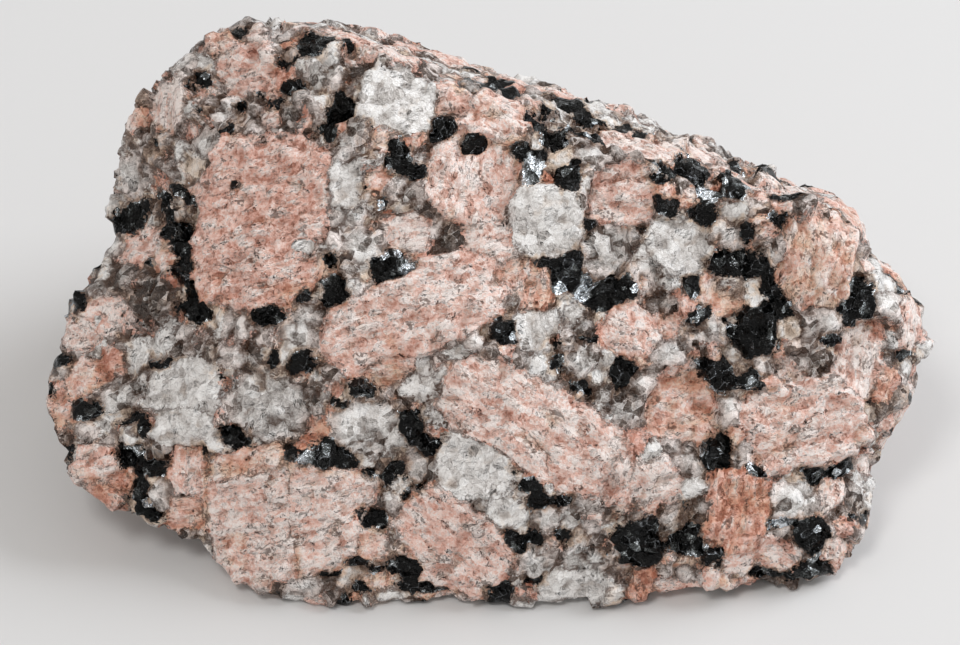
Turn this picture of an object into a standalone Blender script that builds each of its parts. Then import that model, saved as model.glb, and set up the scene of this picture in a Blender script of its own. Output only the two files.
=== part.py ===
"""A pink granite hand specimen: one broken block of coarse stone that lies on a small flat of its underside.

The block is the space inside a set of planes, the faces of the convex hull round its corners. Hollows and
swells bend that form, waves make its faces uneven, and the large crystals and the broken grain stand out of
it as ledges and pits. Lengths are in millimetres until the finished mesh is written in metres.
"""

import math

import bmesh
import bpy
import numpy as np
from mathutils import Vector

MM = 0.001

# The broad broken face leans back. A place on it is given across it, up it and out of it.
FACE_LEAN = math.radians(40)
ACROSS = np.array([1.0, 0.0, 0.0])
UP_FACE = np.array([0.0, math.sin(FACE_LEAN), math.cos(FACE_LEAN)])
OUT_OF_FACE = np.array([0.0, -math.cos(FACE_LEAN), math.sin(FACE_LEAN)])

# The stone's origin, the middle of its underside, seen from the middle of the broad face.
SEAT = np.array([0.64, 15.0, -27.5])

# Corners across, up and out of the broad face.
FACE_RIM = (
    (-29, 36, -8), (-15.5, 33.5, -2), (-6.5, 29, -0.5), (5, 26, 0), (15.5, 20, 1), (26.5, 16.5, 1),
    (41, 13, 0), (51.5, 2.5, -5), (55, -2, -9), (50, -4.5, -1.5), (46.5, -11, -0.5), (45.5, -27, -3),
    (45.5, -31.5, -5), (34, -32, 0), (19, -34.5, -1), (-5, -35.5, -1), (-28, -36.5, -1), (-38, -24.5, -1),
    (-47.5, -20, -3), (-56, -12.5, -7), (-52, -2.5, -8), (-44.5, 26, -13), (-42, 29, -13), (-35.5, 36, -12),
)
FACE_CROWN = ((-18, 8.5, 3), (14.5, -7, 4), (-21.5, -15, 3))
FAR_EDGE = (
    (-28, 38.5, -14), (-16.5, 38.5, -16), (-12, 35.5, -22), (11, 30, -36), (18, 27.5, -36), (36, 19.5, -31),
    (48, 14, -26), (52, -8, -11),
)

# Corners to the right, to the back and above the underside.
BACK_CORNERS = (
    (-36, 42, 31.5), (-44, 28, 21.5), (-46, 12, 11.5), (-38, 44, 13.5), (15, 52, 13.5), (-10, 50, 23.5),
    (38, 44, 13.5), (48, 20, 13.5),
)
FOOT_CORNERS = (
    (-27.5, -20.5, 0.6), (13, -20.5, 0.2), (38, -17, 1.5), (43, 5, 2.0), (38, 38, 3.6), (10, 48, 4.2),
    (-28, 38, 4.2), (-38, 12, 3.0), (-20, -8, -0.9), (18, -8, -0.9), (20, 28, -0.9), (-18, 24, -0.9),
)

# The planes of the hull lie this far outside its corners, and meet in edges that are rounded by this much.
SKIN = 0.2
EDGE_ROUNDING = 0.55
SMALLEST_FACE = 0.05

# Hollows (positive) and swells (negative): across, up, out, radius and depth.
DENTS = (
    (-46, 13, -11, 9, 2.8), (-34, -28.5, -3, 5.5, 2.2), (0, 31, -31, 6, 2.4), (8, -35, -3, 8, 1.0),
    (49.5, 7.5, -17, 4.5, 2.3), (48, -15, -6, 4, 1.8), (29, -34, -2, 6, 1.0), (9.5, 29.5, -35, 2.5, -0.8),
    (17, -34.5, -3, 4, 0.3), (-8, 22, 0, 7, 0.6),
    (-36, 0, -3, 8, -0.8), (32, 2, 1, 6, 0.7),
)

# Large crystals on the broad face: across, up, half length, half width, turn in degrees, rise.
CRYSTALS = (
    (-26, 11.5, 11, 8.5, 80, 0.6), (-1, 17, 6, 5.4, 60, 0.5), (-6.5, 1, 13, 5.2, 25, 0.4),
    (6, -12.5, 12.5, 5.6, -30, 0.7), (24.5, -10.5, 4.8, 4.4, 0, -0.5), (39, -12, 7.8, 5.8, 15, 0.6),
    (40, 8, 5.8, 5, 80, 1.1), (30.5, -22.5, 6, 4.7, 80, 0.5), (-24, -24, 9, 8, 20, 1.0),
    (-3, -26, 8, 5.5, -40, 0.5), (8, 12, 4.5, 4.5, 0, 0.9), (-35.5, -9, 6.5, 5.4, 10, 0.5),
    (-28, 31, 4.8, 4, 20, 0.7), (-39.5, 26, 4, 3.8, 0, 0.8), (-25, -10, 5.6, 4.8, 0, -0.6),
    (32, 6, 4.8, 3.4, -20, -0.7),
)
CRYSTAL_REACH = 7.0
CRYSTAL_FADE = 3.0
CRYSTAL_EDGE = (0.85, 1.15)
CRYSTAL_SLANT = 0.3

# Waves that make the broken faces uneven: wavelength and height.
WAVES = ((38.0, 0.4), (16.0, 0.2))
WAVES_EACH = 18

# Broken grain: ledges tilted at random, one for each cell of the grain.
GRAIN_BOX = ((-62.0, -46.0, -8.0), (62.0, 46.0, 60.0))
GRAIN_SPACING = 8.0
GRAIN_STEP = 0.35
GRAIN_TILT = 0.12
GRAIN_LIMIT = 0.8

SEED = 11

# The flat that the stone lies on: its middle and half sizes, and how far the rest of the underside clears.
RESTING_SPOT = (0.0, 2.0, 27.0, 19.0)
UNDERSIDE_HEIGHT = 3.0
UNDERSIDE_CLEARANCE = 0.3
UNDERSIDE_BLEND = 0.4

# The mesh: a gridded box in the leaning frame, sent out from this middle along rays of this range.
BOX_HALF_SIZES = (54.0, 36.0, 26.0)
GRID_CELLS = (40, 27, 22)
MIDDLE = (0.0, 1.0, -24.0)
RAY_RANGE = (4.0, 95.0)
HALVINGS = 34
SLOPE_STEP = 1.0

STONE_COLOUR = (0.52, 0.40, 0.36, 1.0)
STONE_ROUGHNESS = 0.62


def clear_scene():
    """Remove every object of the startup scene."""
    for found in list(bpy.data.objects):
        bpy.data.objects.remove(found, do_unlink=True)


def from_face(points):
    """Places across, up and out of the broad face, in the stone's upright frame."""
    points = np.asarray(points, float)
    upright = points[:, :3] @ np.stack([ACROSS, UP_FACE, OUT_OF_FACE])
    return upright - SEAT


def to_face(points):
    """The reverse of from_face."""
    return (points + SEAT) @ np.stack([ACROSS, UP_FACE, OUT_OF_FACE]).T


def from_floor(points):
    """Corners that are given above the underside, in the stone's upright frame."""
    points = np.asarray(points, float)
    return points - np.array([SEAT[0], SEAT[1], 0.0])


def hull_planes():
    """Unit normals and distances of the planes that bound the convex hull of the corners."""
    corners = np.vstack([
        from_face(FACE_RIM), from_face(FACE_CROWN), from_face(FAR_EDGE),
        from_floor(BACK_CORNERS), from_floor(FOOT_CORNERS),
    ])
    hull = bmesh.new()
    for corner in corners:
        hull.verts.new(Vector(corner))
    bmesh.ops.convex_hull(hull, input=hull.verts)
    middle = Vector(corners.mean(axis=0))
    normals, reaches = [], []
    for face in hull.faces:
        if face.calc_area() < SMALLEST_FACE:
            continue
        outward = face.normal if face.normal.dot(face.calc_center_median() - middle) > 0 else -face.normal
        normals.append(outward)
        reaches.append(outward.dot(face.verts[0].co) + SKIN)
    hull.free()
    return np.array(normals), np.array(reaches)


def waves(points, wavelength, random):
    """A smooth random height of about unit size: cosines of one wavelength in random directions, summed."""
    directions = random.normal(size=(WAVES_EACH, 3))
    directions /= np.linalg.norm(directions, axis=1, keepdims=True)
    phases = random.uniform(0, math.tau, WAVES_EACH)
    turns = points @ (directions * math.tau / wavelength).T + phases
    return np.cos(turns).sum(axis=1) / math.sqrt(WAVES_EACH / 2)


def crystal_relief(points):
    """Height of the ledges of the large crystals: blunt ellipses that fade out behind the broad face."""
    across, up, out = to_face(points).T
    near_face = np.clip((out + CRYSTAL_REACH) / CRYSTAL_FADE, 0, 1)
    inner, outer = CRYSTAL_EDGE
    height = np.zeros(len(points))
    for x, y, half_length, half_width, turn, rise in CRYSTALS:
        angle = math.radians(turn)
        along = ((across - x) * math.cos(angle) + (up - y) * math.sin(angle)) / half_length
        beside = ((up - y) * math.cos(angle) - (across - x) * math.sin(angle)) / half_width
        edge = (along**4 + beside**4) ** 0.25
        height += rise * np.clip((outer - edge) / (outer - inner), 0, 1) * (1 + CRYSTAL_SLANT * along)
    return height * near_face


def grain_relief(points, random):
    """Height of the broken grain: each cell round a random seed is a small plane with its own tilt."""
    low, high = np.array(GRAIN_BOX)
    count = int(np.prod((high - low) / GRAIN_SPACING))
    seeds = random.uniform(low, high, (count, 3))
    tilts = random.normal(0, GRAIN_TILT, (count, 3))
    steps = random.uniform(-GRAIN_STEP, GRAIN_STEP, count)
    squares = (points**2).sum(axis=1)[:, None] - 2 * points @ seeds.T + (seeds**2).sum(axis=1)
    nearest = squares.argmin(axis=1)
    height = steps[nearest] + ((points - seeds[nearest]) * tilts[nearest]).sum(axis=1)
    return np.clip(height, -GRAIN_LIMIT, GRAIN_LIMIT)


def form(points, planes):
    """Distance outside the bent block: a smooth maximum over the planes, with the dents and waves on it."""
    normals, reaches = planes
    beyond = (points @ normals.T - reaches) / EDGE_ROUNDING
    furthest = beyond.max(axis=1)
    distance = EDGE_ROUNDING * (furthest + np.log(np.exp(beyond - furthest[:, None]).sum(axis=1)))
    for across, up, out, radius, depth in DENTS:
        centre = from_face([(across, up, out)])
        distance += depth * np.exp(-((points - centre) ** 2).sum(axis=1) / (2 * radius**2))
    random = np.random.default_rng(SEED)
    for wavelength, height in WAVES:
        distance += height * waves(points, wavelength, random)
    return distance


def slopes(points, planes):
    """Unit normals of the form at points on it."""
    steps = SLOPE_STEP * np.eye(3)
    rise = [form(points + step, planes) - form(points - step, planes) for step in steps]
    rise = np.stack(rise, axis=1)
    return rise / np.linalg.norm(rise, axis=1, keepdims=True)


def on_form(directions, middle, planes):
    """The place where each ray from the middle leaves the form, by halving the range of the ray."""
    near = np.full(len(directions), RAY_RANGE[0])
    far = np.full(len(directions), RAY_RANGE[1])
    for _ in range(HALVINGS):
        half = (near + far) / 2
        inside = form(middle + directions * half[:, None], planes) < 0
        near = np.where(inside, half, near)
        far = np.where(inside, far, half)
    return middle + directions * near[:, None]


def rested(points):
    """The underside made flat over its resting spot, and kept just clear of the floor around it."""
    x, y, z = points.T
    spot_x, spot_y, half_length, half_width = RESTING_SPOT
    ring = np.hypot((x - spot_x) / half_length, (y - spot_y) / half_width)
    clear = np.clip((ring - 1) / UNDERSIDE_BLEND, 0, 1)
    low = z < UNDERSIDE_HEIGHT
    points[:, 2] = np.where(low, np.maximum(z, UNDERSIDE_CLEARANCE) * clear, z)
    return points


def stone_surface(directions, middle):
    """Points of the finished surface in millimetres: the form, its relief, and the flat that it lies on."""
    planes = hull_planes()
    points = on_form(directions, middle, planes)
    relief = crystal_relief(points) + grain_relief(points, np.random.default_rng(SEED + 1))
    points = points + slopes(points, planes) * relief[:, None]
    return rested(points)


def gridded_box(half_sizes, cells):
    """A box whose edges along each direction are cut into that direction's number of cells."""
    box = bmesh.new()
    bmesh.ops.create_cube(box, size=2.0)
    bmesh.ops.scale(box, vec=half_sizes, verts=box.verts)
    for direction, count in enumerate(cells):
        spans = [(edge, edge.verts[0].co - edge.verts[1].co) for edge in box.edges]
        along = [edge for edge, span in spans if abs(span[direction]) > half_sizes[direction]]
        bmesh.ops.subdivide_edges(box, edges=along, cuts=count - 1, use_grid_fill=True)
    return box


def stone_mesh():
    """The block's mesh: a gridded box in the leaning frame, each vertex sent out along its ray."""
    box = gridded_box(Vector(BOX_HALF_SIZES), GRID_CELLS)
    places = np.array([vertex.co[:] for vertex in box.verts])
    middle = from_face([MIDDLE])[0]
    directions = places @ np.stack([ACROSS, UP_FACE, OUT_OF_FACE])
    directions /= np.linalg.norm(directions, axis=1, keepdims=True)
    for vertex, place in zip(box.verts, stone_surface(directions, middle) * MM):
        vertex.co = Vector(place)
    bmesh.ops.triangulate(box, faces=box.faces)
    bmesh.ops.recalc_face_normals(box, faces=box.faces)
    mesh = bpy.data.meshes.new("granite")
    box.to_mesh(mesh)
    box.free()
    return mesh


def stone_material():
    """Pale pink-grey broken stone."""
    material = bpy.data.materials.new("granite")
    material.use_nodes = True
    shader = material.node_tree.nodes["Principled BSDF"]
    shader.inputs["Base Color"].default_value = STONE_COLOUR
    shader.inputs["Roughness"].default_value = STONE_ROUGHNESS
    shader.inputs["Metallic"].default_value = 0.0
    return material


def main():
    """Make the stone in a collection of its own."""
    clear_scene()
    specimen = bpy.data.collections.new("granite_specimen")
    bpy.context.scene.collection.children.link(specimen)
    stone = bpy.data.objects.new("granite", stone_mesh())
    stone.data.materials.append(stone_material())
    stone.data.shade_flat()
    specimen.objects.link(stone)


if __name__ == "__main__":
    main()
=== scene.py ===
"""The finished look of a pink granite hand specimen that lies on a pale floor.

The stone is one closed surface: a gridded box whose points are sent out along rays to the bent block that the
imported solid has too, and then raised and sunk by the grain of the rock. The grain is a packing of rounded and
blocky crystals in space: the large ones of the broad face are listed one by one, and the rest are drawn at
random. Each point of the surface carries how far inside each mineral it is, so the shader paints pink
feldspar, white feldspar, grey quartz and black mica with clean edges. Lengths are in millimetres until a
finished mesh is written in metres. The stage and the settings are in metres.
"""

import math

import bmesh
import bpy
import numpy as np
from bpy.props import FloatProperty, FloatVectorProperty, IntVectorProperty, PointerProperty
from bpy.types import Operator, Panel, PropertyGroup
from mathutils import Matrix, Vector


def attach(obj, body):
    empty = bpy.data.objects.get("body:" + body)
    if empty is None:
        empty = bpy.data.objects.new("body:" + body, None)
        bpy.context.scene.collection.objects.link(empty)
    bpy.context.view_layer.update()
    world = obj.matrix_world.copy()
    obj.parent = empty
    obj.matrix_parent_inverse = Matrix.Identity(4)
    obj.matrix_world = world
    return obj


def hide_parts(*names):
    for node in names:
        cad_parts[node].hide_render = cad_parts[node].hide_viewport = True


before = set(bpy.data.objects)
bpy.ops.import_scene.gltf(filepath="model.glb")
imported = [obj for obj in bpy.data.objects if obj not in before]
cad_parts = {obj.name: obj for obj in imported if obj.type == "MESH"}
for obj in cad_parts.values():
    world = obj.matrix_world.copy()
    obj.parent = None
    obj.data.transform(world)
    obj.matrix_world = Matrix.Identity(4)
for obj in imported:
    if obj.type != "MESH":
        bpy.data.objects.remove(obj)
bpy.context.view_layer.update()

bl_info = {
    "name": "Granite hand specimen",
    "version": (1, 0, 0),
    "blender": (4, 5, 0),
    "location": "View3D > Sidebar > Granite",
    "description": "Builds a broken block of pink granite, crystal by crystal, and the pale floor it lies on",
    "category": "Add Mesh",
}

MM = 0.001

# The broad broken face leans back. A place on it is given across it, up it and out of it.
FACE_LEAN = math.radians(40)
ACROSS = np.array([1.0, 0.0, 0.0])
UP_FACE = np.array([0.0, math.sin(FACE_LEAN), math.cos(FACE_LEAN)])
OUT_OF_FACE = np.array([0.0, -math.cos(FACE_LEAN), math.sin(FACE_LEAN)])
FACE_AXES = np.stack([ACROSS, UP_FACE, OUT_OF_FACE])

# The stone's origin, the middle of its underside, seen from the middle of the broad face.
SEAT = np.array([0.64, 15.0, -27.5])

# Corners across, up and out of the broad face.
FACE_RIM = (
    (-29, 36, -8), (-15.5, 33.5, -2), (-6.5, 29, -0.5), (5, 26, 0), (15.5, 20, 1), (26.5, 16.5, 1),
    (41, 13, 0), (51.5, 2.5, -5), (55, -2, -9), (50, -4.5, -1.5), (46.5, -11, -0.5), (45.5, -27, -3),
    (45.5, -31.5, -5), (34, -32, 0), (19, -34.5, -1), (-5, -35.5, -1), (-28, -36.5, -1), (-38, -24.5, -1),
    (-47.5, -20, -3), (-56, -12.5, -7), (-52, -2.5, -8), (-44.5, 26, -13), (-42, 29, -13), (-35.5, 36, -12),
)
FACE_CROWN = ((-18, 8.5, 3), (14.5, -7, 4), (-21.5, -15, 3))
FAR_EDGE = (
    (-28, 38.5, -14), (-16.5, 38.5, -16), (-12, 35.5, -22), (11, 30, -36), (18, 27.5, -36), (36, 19.5, -31),
    (48, 14, -26), (52, -8, -11),
)

# Corners of the back and of the foot: to the right, to the back and above the underside.
BACK_CORNERS = (
    (-36, 42, 31.5), (-44, 28, 21.5), (-46, 12, 11.5), (-38, 44, 13.5), (15, 52, 13.5), (-10, 50, 23.5),
    (38, 44, 13.5), (48, 20, 13.5),
)
FOOT_CORNERS = (
    (-27.5, -20.5, 0.6), (13, -20.5, 0.2), (38, -17, 1.5), (43, 5, 2.0), (38, 38, 3.6), (10, 48, 4.2),
    (-28, 38, 4.2), (-38, 12, 3.0), (-20, -8, -0.9), (18, -8, -0.9), (20, 28, -0.9), (-18, 24, -0.9),
)

# The planes of the hull lie this far outside its corners, and meet in edges that are rounded by this much.
SKIN = 0.2
EDGE_ROUNDING = 0.55
SMALLEST_FACE = 0.05

# Hollows (positive) and swells (negative): across, up, out, radius and depth.
DENTS = (
    (-46, 13, -11, 9, 2.8), (-34, -28.5, -3, 5.5, 2.2), (0, 31, -31, 6, 2.4), (8, -35, -3, 8, 1.0),
    (49.5, 7.5, -17, 4.5, 2.3), (48, -15, -6, 4, 1.8), (29, -34, -2, 6, 1.0), (9.5, 29.5, -35, 2.5, -0.8),
    (17, -34.5, -3, 4, 0.3), (-8, 22, 0, 7, 0.6),
    (-36, 0, -3, 8, -0.8), (32, 2, 1, 6, 0.7),
)

# Large crystals that stand out of the broad face: across, up, half length, half width, turn in degrees, rise.
STANDING_CRYSTALS = (
    (-26, 11.5, 11, 8.5, 80, 0.6), (-1, 17, 6, 5.4, 60, 0.5), (-6.5, 1, 13, 5.2, 25, 0.4),
    (6, -12.5, 12.5, 5.6, -30, 0.7), (24.5, -10.5, 4.8, 4.4, 0, -0.5), (39, -12, 7.8, 5.8, 15, 0.6),
    (40, 8, 5.8, 5, 80, 1.1), (30.5, -22.5, 6, 4.7, 80, 0.5), (-24, -24, 9, 8, 20, 1.0),
    (-3, -26, 8, 5.5, -40, 0.5), (8, 12, 4.5, 4.5, 0, 0.9), (-35.5, -9, 6.5, 5.4, 10, 0.5),
    (-28, 31, 4.8, 4, 20, 0.7), (-39.5, 26, 4, 3.8, 0, 0.8), (-25, -10, 5.6, 4.8, 0, -0.6),
    (32, 6, 4.8, 3.4, -20, -0.7),
)
CRYSTAL_REACH = 7.0
CRYSTAL_FADE = 3.0
CRYSTAL_EDGE = (0.85, 1.15)
CRYSTAL_SLANT = 0.3

# Waves that make the broken faces uneven: wavelength and height.
WAVES = ((38.0, 0.4), (16.0, 0.2))
WAVES_EACH = 18

# The box round the stone that random seeds and grains are drawn in.
ROCK_BOX = ((-62.0, -46.0, -8.0), (62.0, 46.0, 60.0))

# Coarse ledges tilted at random, one for each cell of broken rock. Crystals up to the steady size tilt with
# their ledge in full, and larger ones less and less, down to the least tilt.
LEDGE_SPACING = 8.0
LEDGE_STEP = 0.35
LEDGE_TILT = 0.12
LEDGE_LIMIT = 0.8
STEADY_SIZE = 3.0
LEAST_TILT = 0.3

SEED = 11

# The flat that the stone lies on: its middle and half sizes. What is lower than this height is flat within it
# and kept this far clear of the floor outside it, with a blend this wide as a share of the half sizes.
RESTING_SPOT = (0.0, 2.0, 27.0, 19.0)
UNDERSIDE_HEIGHT = 3.0
UNDERSIDE_CLEARANCE = 0.3
UNDERSIDE_BLEND = 0.4

# On the flat a point stands off the floor by as much as its relief is below this, up to this limit.
PIT_START = 0.1
PIT_LIMIT = 0.4

# The mesh: a gridded box in the leaning frame, sent out from this middle along rays of this range.
BOX_HALF_SIZES = (54.0, 36.0, 26.0)
MIDDLE = (0.0, 1.0, -24.0)
RAY_RANGE = (8.0, 80.0)
HALVINGS = 17
SLOPE_STEP = 1.0

# The camera looks straight at the broad face from this far. A line of sight meets the stone somewhere between
# these two distances past the plane of the face, and is searched in these steps.
CAMERA_DISTANCE = 480.0
SIGHT_RANGE = (-10.0, 60.0)
SIGHT_STEP = 0.25

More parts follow.
